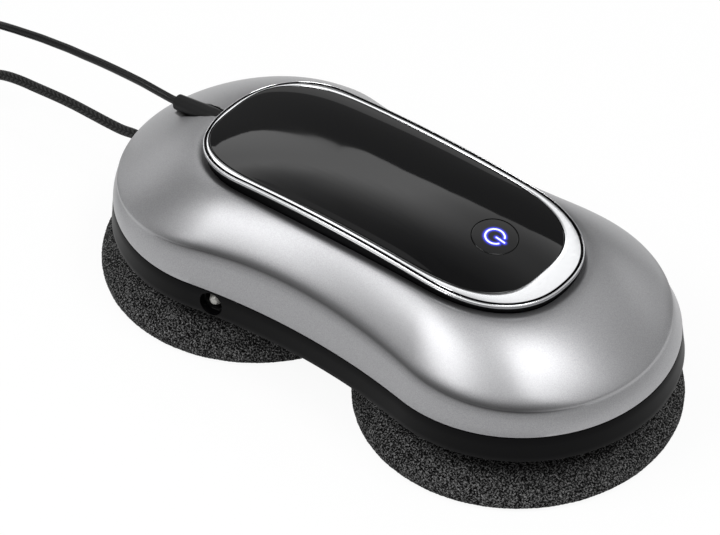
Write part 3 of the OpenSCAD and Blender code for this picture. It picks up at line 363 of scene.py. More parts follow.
# braided polyester: rows of slanted stitches that lean one way and then the other round the rope
def braidMaterial(stitch=2.6, columns=8, slant=1.6):
    material, tree, shader, _ = startMaterial("braidedPolyester", {
        "Roughness": 0.6, "IOR": 1.5, "Specular IOR Level": 0.25, "Sheen Weight": 0.05,
        "Sheen Roughness": 0.5})
    place = addNode(tree, "UVMap", {"uv_map": "UVMap"})
    split = addNode(tree, "SeparateXYZ", Vector=place.outputs["UV"])
    column = addNode(tree, "Math", {"operation": "MULTIPLY", 1: columns / 2}, in0=split.outputs["Y"])
    lean = addNode(tree, "Math", {"operation": "PINGPONG", 1: 0.5}, in0=column)
    # a stitch is the rope's own, 2.6 mm long, as UV runs along it in millimetres
    along = addNode(tree, "Math", {"operation": "MULTIPLY", 1: 1 / stitch}, in0=split.outputs["X"])
    slanted = addNode(tree, "Math", {"operation": "MULTIPLY_ADD", 1: slant}, in0=lean, in2=along)
    strand = addNode(tree, "Math", {"operation": "PINGPONG", 1: 0.5}, in0=slanted)
    seam = addNode(tree, "Math", {"operation": "MULTIPLY", 1: 4.0}, in0=lean)
    edge = addNode(tree, "Math", {"operation": "PINGPONG", 1: 1.0}, in0=seam)
    shaped = addNode(tree, "Math", {"operation": "SMOOTH_MIN", 2: 0.3}, in0=edge, in1=strand)
    height = addNode(tree, "MapRange", {"From Max": 0.42}, Value=shaped)
    # painted shade: the ramp makes the low parts between strands near black and the strands' crowns lighter
    ramp = addNode(tree, "ValToRGB", {"stops": [(0.3, "#020202"), (0.9, "#2C2C2C")]}, Fac=height)
    link(tree, shader, Base_Color=ramp)
    bump = addNode(tree, "Bump", {"Strength": 1.0, "Distance": 0.5 * mm}, Height=height)
    link(tree, shader, Normal=bump)
    return material


pvc = pvcMaterial()
braid = braidMaterial()

tilt = radians(powerCord["bootTilt"])
tip = Vector(powerCord["bootTip"])
cordStart = [tip, tip + Vector((-cos(tilt), 0, -sin(tilt))) * powerCord["diameter"]]
leadLine = cordLine(powerCord, cordStart)
leadCord = tubePiece("leadCord", leadLine, powerCord, pvc)
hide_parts("power_cord", "power_cord_coil", "power_cord_tail")

gland = Vector(safetyRope["gland"])
ropeStart = [gland, gland - Vector((safetyRope["diameter"], 0, 0))]
ropeLine = cordLine(safetyRope, ropeStart)
tetherRope = tubePiece("tetherRope", ropeLine, safetyRope, braid)
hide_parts("safety_rope", "safety_rope_coil", "safety_rope_tail")


def ropeLoopLine(rope):
    # out of the ferrule, round the loop and back beside itself
    start = Vector(rope["tailEnd"]) + Vector((rope["ferrule"], 0, 0))
    half = (rope["diameter"] + coilShape["gap"]) / 2
    steps, reach, radius = rope["legSteps"], rope["loopReach"], rope["loopRadius"]
    leg = [Vector((t / steps * reach, mix(half, radius, smooth((6 * t / steps - 1) / 5)), 0))
           for t in range(steps + 1)]
    arc = [Vector((reach + radius * sin(radians(a)), radius * cos(radians(a)), 0))
           for a in range(8, 173, 8)]
    back = [Vector((p.x, -p.y, 0)) for p in reversed(leg)]
    return [start + p for p in leg + arc + back]


tetherLoop = tubePiece("tetherLoop", ropeLoopLine(safetyRope), safetyRope, braid)
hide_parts("rope_loop")
print("stage: cords", round(lineLength(leadLine)), round(lineLength(ropeLine)))


# body outline

# two round lobes joined by hollow sides; the points of every row stand at the same stations round it
bodyShape = {
    "lobeRadius": 69.3, "lobeOffset": 72.15, "waist": 62.7, "shift": 3.6, "bandZ": 29.2, "shellZ": 42.1,
    "wall": 2.4, "seam": 0.35, "sideGap": 0.3, "endSteps": 120, "sideSteps": 48}


def makeStations():
    steps = [bodyShape["endSteps"], bodyShape["sideSteps"]] * 2
    return [(part, i / count) for part, count in enumerate(steps) for i in range(count)]


stations = makeStations()


def allRound(pointAt, *settings):
    return [pointAt(station, *settings) for station in stations]


def waistCurve(r, w):
    # radius of the hollow side between lobes of radius r, at half width w
    x = bodyShape["lobeOffset"]
    return (x * x + w * w - r * r) / (2 * (r - w))


def bodyPoint(station, inset):
    # parts 0 and 2 are the lobes, 1 and 3 the sides, and the last two are the first two turned round
    part, f = station
    r, w, x0 = bodyShape["lobeRadius"] - inset, bodyShape["waist"] - inset, bodyShape["lobeOffset"]
    q = waistCurve(r, w)
    a = atan2(w + q, x0)
    turn = -1 if part > 1 else 1
    if part % 2:
        t = mix(-a, a - pi, f)
        x, y = q * cos(t), w + q + q * sin(t)
    else:
        t = mix(a - pi, pi - a, f)
        x, y = x0 + r * cos(t), r * sin(t)
    return turn * x + bodyShape["shift"], turn * y


# panel and bezel outlines

# edgeRound is (inset, drop) over the panel's edge
panelShape = {
    "half": 87.2, "halfWidth": 34.5, "thick": 2.4, "top": 90.4, "rise": 4.6, "bow": 690.0, "end": 53.0,
    "roundness": 2.92, "cushion": 3, "rings": 44, "firstRing": 0.02,
    "edgeRound": [(0.5, 0.0), (0.25, 0.05), (0.07, 0.2), (0, 0.5)]}
# line is a slot round the outside and channel a groove in the top, both given black faces as painted shade;
# flat is the front's flatter part
bezelShape = {
    "side": 3.45, "front": 12.0, "rear": 3.0, "straight": 50.0, "drop": 2.8, "overhang": 1.5, "tuck": 2.0,
    "roundness": 2.32, "foot": 1.9, "bevel": 0.12, "turnIn": 0.1,
    "flat": {"from": 74, "over": 50, "rise": 2.0},
    "line": {"top": 1.15, "low": 1.35, "deep": 0.2, "soft": 0.05},
    "channel": {"out": 0.45, "in": 1.6, "deep": 0.9, "soft": 0.03, "lip": (0.02, 0.08)},
    "edgeRound": [(0, 0.34), (0.04, 0.2), (0.12, 0.09), (0.24, 0.03)],
    "innerRows": [(0.2, 0.0), (0.5, 0.0), (0.8, -0.01), (0.94, -0.03)]}


def pillPoint(station, straight, front, rear, halfWidth, roundness):
    part, f = station
    turn, reach = (-1, rear) if part > 1 else (1, front)
    if part % 2:
        return turn * mix(straight, -straight, f), turn * halfWidth
    t = radians(-90 + 180 * f)
    c, s = signedPower(cos(t), 2 / roundness), signedPower(sin(t), 2 / roundness)
    return turn * (straight + (reach - straight) * c), turn * halfWidth * s


def panelPoint(station, grow):
    p = panelShape
    return pillPoint(station, p["half"] - p["end"], p["half"] + grow, p["half"] + grow,
                     p["halfWidth"] + grow, p["roundness"])


def bezelPoint(station, grow):
    p, b = panelShape, bezelShape
    return pillPoint(station, b["straight"], p["half"] + b["front"] + grow, p["half"] + b["rear"] + grow,
                     p["halfWidth"] + b["side"] + grow, b["roundness"])


def edgeHeight(x):
    return panelShape["top"] - panelShape["rise"] - x * x / (2 * panelShape["bow"])


def cushion(x, share):
    return edgeHeight(x) + panelShape["rise"] * (1 - share ** panelShape["cushion"])


def insidePanel(x, y):
    p = panelShape
    n = p["roundness"]
    past = max(0.0, abs(x) - (p["half"] - p["end"])) / p["end"]
    return past ** n + (abs(y) / p["halfWidth"]) ** n < 1 if past > 0 else abs(y) < p["halfWidth"]


def panelShare(x, y, halvings=26):
    # how far out a point lies, 0 in the middle and 1 at the panel's edge
    low, high = 0.0, 1.5
    for _ in range(halvings):
        share = (low + high) / 2
        if insidePanel(x / share, y / share):
            high = share
        else:
            low = share
    return (low + high) / 2


# silver shell

# front, rear and waist are the skirt's height and lean; rows are shares from the lip up to the crease,
# and dome rows shares from the crease up to the rim; the painted shade values are how much light a row is
# painted as getting
shellShape = {
    "front": (9.8, 4.0), "rear": (6.8, 1.2), "waist": (16.7, 6.8), "middle": -13.3, "skirtReach": 150.0,
    "skirtBow": 1.7, "rimReach": 130.0, "rimDip": 4.3, "creaseDepth": 1.1, "creaseHeight": 2.0,
    "roll": 0.13, "leastRoll": 0.004, "trough": 1.6, "troughWidth": 0.07, "turn": 78.0,
    "creaseFront": (115.4, 145.7), "creaseRear": (49.8, 95.2), "shares": (0.58, 0.62, 0.66, 0.8),
    "plainShare": 0.56, "sink": 3.0, "bootOpening": 5.3, "bootReach": (-1, 31), "lip": 0.4,
    "lipRise": 0.12, "turnDown": 1.6, "wallIn": 1.8, "wallAim": 0.35,
    "skirtRows": (0.15, 0.3, 0.45, 0.6, 0.74), "creaseRows": [(0.86, 0.12), (0.94, 0.45)],
    "creaseEnd": 0.75, "creaseBlend": (0.1, 0.4, 0.8),
    "domeRows": (0.012, 0.03, 0.05, 0.075, 0.1, 0.13, 0.165, 0.2, 0.24, 0.28, 0.33, 0.38, 0.44, 0.5, 0.57,
        0.64, 0.71, 0.78, 0.84, 0.885, 0.92, 0.95, 0.975, 1),
    "insideRows": (0.75, 0.4, 0.15, 0), "footPaintedShade": (0.92, 0.68, 0.38, 0.24, 0.18, 0.18),
    "creasePaintedShade": [(0, 0.16), (0.02, 0.22), (0.04, 0.36), (0.07, 0.66), (0.1, 0.88), (0.14, 1), (2, 1)],
    "rimPaintedShade": [(0, 1), (0.72, 1), (0.8, 0.88), (0.87, 0.68), (0.92, 0.46), (0.96, 0.26), (1, 0.1)],
    "rimPaintedShadeAtEnds": 0.35, "paintedShadeWidth": (0.9, 2.2)}


def nearWaist(x):
    return 1 - smooth(abs(x - bodyShape["shift"]) / bodyShape["lobeOffset"])


def nearEnd(x):
    return smooth((abs(x - bodyShape["shift"]) - bodyShape["lobeOffset"]) / bodyShape["lobeRadius"])


def byMiddle(x, reach):
    return 1 - smooth(abs(x - shellShape["middle"]) / reach)


def skirtAt(x):
    # height and lean of the skirt
    s = shellShape
    return mixPoint(s["front"] if x > s["middle"] else s["rear"], s["waist"], byMiddle(x, s["skirtReach"]))


def creaseAt(x):
    # 1 where the crease is full, 0 where it has faded out towards an end
    start, end = shellShape["creaseFront"] if x > 0 else shellShape["creaseRear"]
    return 1 - smooth((abs(x) - start) / (end - start))


def rimHeight(x):
    s = shellShape
    dip = s["rimDip"] * byMiddle(x, s["rimReach"])
    return edgeHeight(x) - bezelShape["drop"] - bodyShape["sideGap"] - dip


def skirtPoint(station, share, deeper=0.0):
    # from the lower lip, 0, up to the crease, 1
    low = bodyPoint(station, 0)
    k, lean = skirtAt(low[0])
    out = mix(share ** shellShape["skirtBow"], share, creaseAt(low[0]))
    p = bodyPoint(station, lean * out + deeper)
    return p[0], p[1], bodyShape["shellZ"] + k * share


def domePoint(station, t):
    # from the crease, 0, up to the rim under the bezel, 1; it leaves the crease steeply and rolls over
    s, b = shellShape, bodyShape
    low = bodyPoint(station, 0)
    k, lean = skirtAt(low[0])
    foot = bodyPoint(station, lean)
    top = bezelPoint(station, b["sideGap"] - bezelShape["overhang"])
    middleShare, frontShare, rearShare, waistShare = s["shares"]
    share = mix(middleShare, frontShare if low[0] > 0 else rearShare, nearEnd(low[0]))
    share = mix(share, waistShare, nearWaist(low[0]))
    share = mix(s["plainShare"], share, creaseAt(low[0]))
    turn = radians(s["turn"])
    across = ((1 - cos(t * turn)) / (1 - cos(turn))) ** share if t > 0 else 0
    up = sin(t * turn) / sin(turn)
    roll = s["roll"] * creaseAt(low[0])
    across *= 1 - exp(-up / roll) if roll > s["leastRoll"] else 1
    footZ = b["shellZ"] + k + s["creaseHeight"] / 2
    sag = s["sink"] * nearWaist(low[0]) * sin(pi * t)
    trough = s["trough"] * exp(-((1 - t) / s["troughWidth"]) ** 2)
    return (mix(foot[0], top[0], across), mix(foot[1], top[1], across),
            mix(footZ, rimHeight(top[0]), up) - sag - trough)


def shellColumn(station):
    # lower lip, skirt, crease, dome, then the wall under the bezel and the inside
    b, s = bodyShape, shellShape
    low, lip, deep = (bodyPoint(station, inset) for inset in (0, s["lip"], b["wall"]))
    z, depth = b["shellZ"], s["creaseDepth"] * creaseAt(low[0])
    column = [deep + (z,), lip + (z,), mixPoint(lip, low, 0.8) + (z + s["lipRise"],), low + (z + s["lip"],)]
    column += [skirtPoint(station, share) for share in s["skirtRows"]]
    column += [skirtPoint(station, share, deeper * depth) for share, deeper in s["creaseRows"]]
    crease, foot = skirtPoint(station, 1, s["creaseEnd"] * depth), domePoint(station, 0)
    column += [mixPoint(crease, foot, share) for share in s["creaseBlend"]]
    column += [domePoint(station, t) for t in s["domeRows"]]
    x, y, z = column[-1]
    column.append((x, y, z - s["turnDown"]))
    for t in s["insideRows"]:
        x, y, z = domePoint(station, t)
        middle = Vector((b["shift"] + s["wallAim"] * (x - b["shift"]), 0, z))
        inward = (middle - Vector((x, y, z))).normalized() * s["wallIn"]
        column.append((x + inward.x, y + inward.y, z - s["turnDown"]))
    return column


def shellPaintedShade(x):
    # painted shade: how open each row is painted as being to the light, less in the crease and under the
    # bezel's edge a dome row has the painted shade of the one below it, and what follows the rim has the
    # rim's
    s, fade = shellShape, creaseAt(x)
    under, wide = mix(1, s["rimPaintedShadeAtEnds"], nearEnd(x)), mix(*s["paintedShadeWidth"], nearWaist(x))
    paintedShades = [1] * (4 + len(s["skirtRows"])) + [mix(1, v, fade) for v in s["footPaintedShade"]]
    for t in s["domeRows"]:
        inCrease, underRim = lookUp(s["creasePaintedShade"], t / wide), lookUp(s["rimPaintedShade"], t)
        paintedShades.append(mix(1, inCrease, fade) * mix(1, underRim, under))
    return paintedShades + [paintedShades[-1]] * len(s["insideRows"])


def makeShell(material):
    columns = allRound(shellColumn)
    paintedShades = [shellPaintedShade(x) for x, _ in allRound(bodyPoint, 0)]
    rows = [list(row) for row in zip(*columns)]
    shell = makeBand("silverShell", rows, material, "housing", sharpFrom["shell"])
    # painted shade stored at each point, darker in the crease and under the bezel's edge
    storeValues(shell.data, "paintedOpenness", [tone for row in zip(*paintedShades) for tone in row])
    way = Vector((cos(tilt), 0, sin(tilt)))
    tool = roundTool(powerCord["bootTip"], way, shellShape["bootOpening"], *shellShape["bootReach"])
    cutWith(shell, [tool], sharpFrom["shell"])
    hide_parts("top_shell")


# satin silver paint on moulded ABS: fine metal flake gives a grey body with broad soft highlights
def silverPaintMaterial(flakeSize=0.45):
    material, tree, shader, _ = startMaterial("silverPaintedAbs", {
        "Metallic": 0.82, "IOR": 1.5, "Coat Weight": 0.12, "Coat Roughness": 0.25})
    # real flake is under 0.1 mm and wouldn't show, so it is drawn at about half a millimetre
    flake = addGrain(tree, shader, flakeSize, {"Detail": 2.0, "Roughness": 0.7}, rough=(0.36, 0.44),
                     relief=(0.06, 0.08))
    ramp = addNode(tree, "ValToRGB", {"stops": [(0.3, "#959597"), (0.7, "#AAAAAC")]}, Fac=flake)
    # painted shade: the paint is multiplied darker in the crease and the strip under the bezel, where less
    # light falls
    paintedOpenness = addNode(tree, "Attribute", {"attribute_name": "paintedOpenness"})
    shade = addNode(tree, "MixRGB", {"blend_type": "MULTIPLY", "Fac": 1.0},
                    Color1=ramp, Color2=paintedOpenness.outputs["Fac"])
    link(tree, shader, Base_Color=shade)
    return material


makeShell(silverPaintMaterial())
print("stage: shell")


# black band

# moulded black ABS with a fine spark-eroded texture, which greys it where light grazes
def mouldedAbsMaterial(name, tone, roughness=0.42, grainSize=0.35, specular=0.5):
    material, tree, shader, _ = startMaterial(name, {
        "Base Color": tone, "Roughness": roughness, "IOR": 1.52, "Specular IOR Level": specular})
    # the real texture is near 0.05 mm; it is drawn coarser so that it shows
    addGrain(tree, shader, grainSize, {"Detail": 3.0}, relief=(0.12, 0.06))
    return material


bandAbs = mouldedAbsMaterial("mouldedAbsBand", "#030304", 0.42, specular=0.07)
# edge and bevel round the band's corners; slope is (share of the flare, share of the height)
bandShape = {
    "flare": 1.3, "edge": 0.5, "bevel": 0.12, "slope": [(0.8, 0.2), (0.6, 0.4), (0.38, 0.65)],
    "topFlare": 0.05}
# reaches are how far a hole's cutter stands in and out; the cone is (radius, depth) out of the hole
portShape = {
    "x": 44.8, "z": 35.4, "across": 11.4, "reach": (-2.6, 3), "gland": (-133, 0, 33.3), "glandAcross": 6.8,
    "glandReach": (-3, 9), "coneSides": 48,
    "cone": [(3.9, -7.6), (3.9, -5.2), (3.6, -4.5), (2.1, -1.7), (1.8, -1.35), (1.4, -1.1), (0.8, -0.95)]}


def portPlace():
    # where the side socket stands in the hollow side, and the way it faces
    b = bodyShape
    q = waistCurve(b["lobeRadius"], b["waist"])
    x = portShape["x"] + b["shift"]
    turn = asin(x / q)
    return (Vector((-portShape["x"], sqrt(q * q - x * x) - b["waist"] - q, portShape["z"])),
            Vector((sin(turn), -cos(turn), 0)))


def makeBlackBand(material):
    b, s = bodyShape, bandShape
    low, top = b["bandZ"], b["shellZ"] - b["seam"]
    flare, edge, bevel = s["flare"], s["edge"], s["bevel"]
    profile = [(b["wall"], low), (edge - flare, low), (bevel - flare, low + bevel), (-flare, low + edge)]
    profile += [(-flare * share, mix(low, top, rise)) for share, rise in s["slope"]]
    profile += [(-flare * s["topFlare"], top - edge), (bevel, top - bevel), (edge, top), (b["wall"], top)]
    rows = [[p + (z,) for p in allRound(bodyPoint, inset)] for inset, z in profile]
    band = makeBand("blackBand", rows, material, "housing", sharpFrom["shell"])
    port, way = portPlace()
    cutWith(band, [roundTool(port, way, portShape["across"] / 2, *portShape["reach"]),
                   roundTool(portShape["gland"], (-1, 0, 0), portShape["glandAcross"] / 2,
                             *portShape["glandReach"])], sharpFrom["shell"])
    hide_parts("base_band")


# turned nickel-plated brass, bright where it faces out of the hole
def nickelPinMaterial(markSize=0.67):
    material, tree, shader, _ = startMaterial("turnedNickelPin", {
        "Base Color": "#A5A4A0", "Metallic": 0.5, "Roughness": 0.42})
    # the tool's marks are near 0.1 mm; they are drawn coarser so that they show
    addGrain(tree, shader, markSize, {"Detail": 2.0}, rough=(0.36, 0.5))
    return material


def makeSocketPin(material):
    port, way = portPlace()
    side = way.orthogonal().normalized()
    points, sides = [], portShape["coneSides"]
    for radius, depth in portShape["cone"]:
        points += circlePoints(port + way * depth, side, way.cross(side), radius, sides)
    faces = cappedFaces(len(portShape["cone"]), sides)
    pin = makePiece("socketCone", points, faces, material, "housing", sharpFrom["shell"])
    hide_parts("socket_pin")


makeBlackBand(bandAbs)
makeSocketPin(nickelPinMaterial())
print("stage: band")


# glossy panel, bezel and button

# polished black ABS, mirror smooth, so it shows the room's edges sharply
def pianoBlackMaterial(waveSize=28.6):
    material, tree, shader, _ = startMaterial("polishedBlackAbs", {
        "Base Color": "#050506", "Roughness": 0.035, "IOR": 1.52})
    # polishing leaves wide patches, a few centimetres across, that are a little less smooth
    addGrain(tree, shader, waveSize, {"Detail": 1.0}, rough=(0.025, 0.05))
    return material


# chrome plated ABS, buffed: near white, darker where it turns away; its thin black lines are painted shade
# set in makeBezel
def platedChromeMaterial(buffSize=2.5):
    material, tree, shader, _ = startMaterial("platedChrome", {
        "Base Color": "#F4F5F7", "Metallic": 1.0, "Roughness": 0.1})
    # strokes of the buffing wheel
    addGrain(tree, shader, buffSize, {"Detail": 2.0}, rough=(0.08, 0.13))
    return material


# symbol is the ring's outer diameter, line its stroke; glow is lit to lit and fades over fade millimetres
buttonShape = {
    "x": 61.2, "across": 21.0, "gap": 0.3, "thick": 2.2, "symbol": 9.6, "line": 1.09, "openAngle": 60.0,
    "bar": (0.08, 0.54), "lit": 0.4, "fade": 0.62, "halfStroke": 0.36, "cutReach": (-6, 6),
    "cutSides": 160, "proud": 0.05, "sunk": 0.4, "rings": 60, "sides": 120, "flatShare": 0.975,
    "edgeRound": [(0.99, -0.04), (1, -0.2)], "arcSteps": 8, "ringSteps": 72, "barSteps": 12}


def buttonFrame():
    # the button's middle on the cushion, its axis, and its own two directions across
    p, x = panelShape, buttonShape["x"]
    share = x / p["half"]
    slope = x / p["bow"] + p["cushion"] * p["rise"] * share ** (p["cushion"] - 1) / p["half"]
    lean = atan(slope)
    normal = Vector((sin(lean), 0, cos(lean)))
    along = Vector((cos(lean), 0, -sin(lean)))
    return Vector((x, 0, cushion(x, share))), normal, along, Vector((0, 1, 0))


def makePanel(material):
    p = panelShape
    rows = []
    for i in range(p["rings"]):
        share = mix(p["firstRing"], 1, i / p["rings"])
        edge = allRound(panelPoint, -p["edgeRound"][0][0])
        rows.append([(x * share, y * share, cushion(x * share, share)) for x, y in edge])
    for inset, drop in p["edgeRound"] + [(0, p["thick"])]:
        rows.append([(x, y, edgeHeight(x) - drop) for x, y in allRound(panelPoint, -inset)])
    points = [v for row in rows for v in row]
    count = len(stations)
    faces = bandFaces(len(rows), count, closed=False)
    top, under, last = len(points), len(points) + 1, len(points) - count
    points += [(0, 0, p["top"]), (0, 0, p["top"] - p["thick"])]
    for s in range(count):
        t = (s + 1) % count
        faces.append((top, s, t))
        faces.append((under, last + t, last + s))
    panel = makePiece("glossPanel", points, faces, material, "housing", sharpFrom["cap"])
    centre, normal, _, _ = buttonFrame()
    b = buttonShape
    tool = roundTool(centre, normal, b["across"] / 2, *b["cutReach"], b["cutSides"])
    cutWith(panel, [tool], sharpFrom["cap"])
    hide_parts("top_panel")


def bezelTop(x):
    # the wide front of the bezel lies flatter than the panel's crown
    flat = bezelShape["flat"]
    return edgeHeight(x) + smooth((x - flat["from"]) / flat["over"]) * flat["rise"]


def bezelFoot(x):
    # the bezel's lower edge, tucked under the shell's rim
    return rimHeight(x) - bezelShape["tuck"]


def makeBezel(chrome, dark):
    # from the foot up the outside, over the rounded top and down inside the panel's edge
    b, gap = bezelShape, bodyShape["sideGap"]
    line, channel = b["line"], b["channel"]
    shoulder = channel["in"] + 2 * channel["soft"]
    high, low = channel["lip"]
    outer = [(-b["overhang"], None), (-b["overhang"], b["drop"]), (-b["turnIn"], b["drop"]),
             (0, b["drop"] - b["bevel"]),
             (0, b["foot"]), (0, line["low"] + line["soft"]), (-line["soft"], line["low"]),
             (-line["deep"], line["low"]), (-line["deep"], line["top"]), (-line["soft"], line["top"]),
             (0, line["top"] - line["soft"])]
    outer += [(-inset, drop) for inset, drop in b["edgeRound"]]
    outer += [(-channel["out"] + 2 * channel["soft"], high), (-channel["out"], low),
              (-channel["out"] - channel["soft"], channel["deep"]),
              (-channel["in"] + channel["soft"], channel["deep"]), (-channel["in"], low), (-shoulder, high)]
    rows = []
    for grow, drop in outer:
        row = allRound(bezelPoint, grow)
        rows.append([(x, y, bezelFoot(x) if drop is None else bezelTop(x) - drop) for x, y in row])
    inside = allRound(panelPoint, gap)
    across = list(zip(allRound(bezelPoint, -shoulder), inside))
    for share, rise in b["innerRows"]:
        row = [mixPoint(p, q, share) for p, q in across]
        rows.append([(x, y, bezelTop(x) + rise) for x, y in row])
    rows.append([(x, y, bezelTop(x) - b["bevel"]) for x, y in inside])
    rows.append([(x, y, bezelFoot(x)) for x, y in inside])
    bezel = makeBand("chromeBezel", rows, chrome, "housing", sharpFrom["shell"])
    bezel.data.materials.append(dark)
    count = len(stations)
    # the foot, the line and the channel get the black ABS, as painted shade in the gap under the bezel, the
    # slot and the groove
    for first, last in ((0, 4), (6, 9), (len(outer) - 5, len(outer) - 2)):
        for face in bezel.data.polygons[first * count:last * count]:
            face.material_index = 1
    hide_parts("chrome_bezel")


def onCushion(u, v, lift):
    # a point of the button's plane, dropped along its axis onto the panel's cushion
    centre, normal, along, across = buttonFrame()
    p = centre + along * u + across * v
    for _ in range(3):
        p += normal * (cushion(p.x, panelShare(p.x, p.y)) - p.z)
    return p + normal * lift


def symbolRing():
    # radius of the ring's centre line and half its opening
    return (buttonShape["symbol"] - buttonShape["line"]) / 2, buttonShape["openAngle"] / 2


def symbolBar():
    return [share * buttonShape["symbol"] for share in buttonShape["bar"]]


def ringPoint(radius, angle):
    return radius * cos(radians(angle)), radius * sin(radians(angle))


def symbolDistance(u, v):
    # distance from the power symbol's centre line: an open ring and a bar
    r, half = symbolRing()
    if abs(degrees(atan2(v, u))) < half:
        ring = min(hypot(u - x, v - y) for x, y in (ringPoint(r, half), ringPoint(r, -half)))
    else:
        ring = abs(hypot(u, v) - r)
    inner, outer = symbolBar()
    bar = hypot(u - min(outer, max(inner, u)), v)
    return min(ring, bar)


# the cap is the panel's own polished black, lit blue round the symbol by the light guide under it
def litCapMaterial(strength=1.7):
    material, tree, shader, _ = startMaterial("polishedBlackLitCap", {
        "Base Color": "#050506", "Roughness": 0.035, "IOR": 1.52,
        "Emission Color": "#3A3FE0"})
    glow = addNode(tree, "Attribute", {"attribute_name": "glow"})
    light = addNode(tree, "Math", {"operation": "MULTIPLY", 1: strength}, in0=glow.outputs["Fac"])
    link(tree, shader, Emission_Strength=light)
    return material


# acrylic light guide, moulded, with a white-blue LED behind it
def lightGuideMaterial():
    return startMaterial("acrylicLightGuide", {
        "Base Color": "#C9CFFF", "Roughness": 0.3, "IOR": 1.49, "Emission Color": "#C3C9FF",
        "Emission Strength": 0.95})[0]


def makeButtonCap(material):
    b = buttonShape
    radius = b["across"] / 2 - b["gap"]
    rings, sides = b["rings"], b["sides"]
    # the middle lies close to the bar, so it is lit
    points, glow = [onCushion(1e-4, 0, 0)], [1.0]
    profile = [(radius * (i + 1) / rings * b["flatShare"], 0.0) for i in range(rings)]
    profile += [(radius * share, lift) for share, lift in b["edgeRound"]] + [(radius, -b["thick"])]
    for r, lift in profile:
        for k in range(sides):
            a = 2 * pi * k / sides
            u, v = r * cos(a), r * sin(a)
            points.append(onCushion(u, v, lift))
            far = max(0.0, symbolDistance(u, v) - b["line"] * b["lit"])
            glow.append(exp(-(far / b["fade"]) ** 2) if lift == 0 else 0.0)
    last = (len(profile) - 1) * sides
    faces = bandFaces(len(profile), sides, closed=False) + [tuple(range(last, last + sides))]
    faces = [tuple(k + 1 for k in face) for face in faces]
    faces += [(0, 1 + (k + 1) % sides, 1 + k) for k in range(sides)]
    cap = makePiece("buttonCap", points, faces, material, "button", sharpFrom["cap"])
    storeValues(cap.data, "glow", glow)
    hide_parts("power_button")


def addStroke(line, points, faces):
    # a flat ribbon with round ends, a little above the cap and sunk into it
    b = buttonShape
    width, steps = b["line"] * b["halfStroke"], b["arcSteps"]
    flat = [Vector((u, v, 0)) for u, v in line]
    left, right, arcs = [], [], []
    for i, p in enumerate(flat):
        way = (flat[min(i + 1, len(flat) - 1)] - flat[max(i - 1, 0)]).normalized()
        side = Vector((-way.y, way.x, 0))
        left.append(p + side * width)
        right.append(p - side * width)
    for end, before in ((flat[-1], flat[-2]), (flat[0], flat[1])):
        heading = atan2(end.y - before.y, end.x - before.x)
        arcs.append([end + Vector((cos(heading + t), sin(heading + t), 0)) * width
                     for t in (radians(90 - 180 * k / steps) for k in range(1, steps))])
    loop = left + arcs[0] + list(reversed(right)) + arcs[1]
    base, count, n = len(points), len(loop), len(left)
    points.extend(onCushion(p.x, p.y, b["proud"]) for p in loop)
    points.extend(onCushion(p.x, p.y, -b["sunk"]) for p in loop)
    # ribbon quads, then the round ends as fans
    for i in range(n - 1):
        a, c = base + i, base + n + len(arcs[0]) + (n - 1 - i)
        faces.append((a, a + 1, c - 1, c))
        faces.append((count + a, count + c, count + c - 1, count + a + 1))
    firstEnd = list(range(n - 1, n + steps))
    secondEnd = list(range(count - steps, count)) + [0]
    for end in (firstEnd, secondEnd):
        faces.append(tuple(base + k for k in end))
        faces.append(tuple(base + count + k for k in reversed(end)))
    for k in range(count):
        j = (k + 1) % count
        faces.append((base + k, base + j, base + count + j, base + count + k))


def makeSymbol(material):
    # a ring and a bar of flat section, just proud of the cap
    b = buttonShape
    r, half = symbolRing()
    steps = b["ringSteps"]
    ring = [ringPoint(r, half + (360 - 2 * half) * i / steps) for i in range(steps + 1)]
    bar = [(mix(*symbolBar(), i / b["barSteps"]), 0.0) for i in range(b["barSteps"] + 1)]
    points, faces = [], []
    for line in (ring, bar):
        addStroke(line, points, faces)
    symbol = makePiece("powerSymbol", points, faces, material, "button", sharpFrom["shell"])
    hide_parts("power_symbol")


makePanel(pianoBlackMaterial())
# the band's black ABS paints the bezel's shade into its foot, slot and groove
makeBezel(platedChromeMaterial(), bandAbs)
makeButtonCap(litCapMaterial())
makeSymbol(lightGuideMaterial())
print("stage: panel, bezel, button")


# cleaning pads

# profile is (radius, height) from the middle opening under the pad and over its outside to the hem;
# tufts, lumps and liftTufts are how many stand on a millimetre, pile and lump how far they push
padShape = {
    "reach": 73.4, "overFloor": 0.02, "discX": 73.5, "sides": 760, "pile": 0.28, "lump": 0.12,
    "tufts": 1.6, "lumps": 0.12, "liftTufts": 1.9, "looseFrom": 60, "looseOver": 10, "looseAbove": 0.6,
    "liftShare": 0.8,
    "profile": [(32.0, 10.9), (32.0, 0.9), (32.6, 0.25), (34, 0.1), (40, 0.1), (46, 0.1), (52, 0.1),
        (58, 0.1), (64, 0.1), (68.5, 0.15), (70.8, 0.5), (72.2, 1.4), (72.9, 2.8), (73.0, 4.4),
        (72.8, 6.0), (72.1, 7.4), (71.0, 8.7), (69.4, 9.8), (67.7, 10.9), (66.2, 12.2), (64.9, 13.5),
        (63.4, 14.6), (61.5, 15.2), (59, 15.35), (56, 15.35), (53.6, 15.3), (53.1, 14.9), (53.1, 14.1)]}


# microfibre pile: short dark loops that catch light one by one, with that light painted as paler colour on
# the loops the same noise raises
def microfibreMaterial(loopSize=0.75):
    material, tree, shader, _ = startMaterial("microfibrePile", {
        "Roughness": 0.9, "IOR": 1.46, "Specular IOR Level": 0.06, "Sheen Weight": 0.02,
        "Sheen Roughness": 0.4})
    # real loops are near 0.3 mm across; they are drawn at 0.75 mm so that they show
    loops = addGrain(tree, shader, loopSize, {"Detail": 3.0, "Roughness": 0.75}, relief=(0.8, 0.4))
    # painted highlight: the ramp lightens the loops where the same noise raises them
    ramp = addNode(tree, "ValToRGB", {"stops": [(0.485, "#010101"), (0.73, "#989898")]}, Fac=loops)
    link(tree, shader, Base_Color=ramp)
    return material


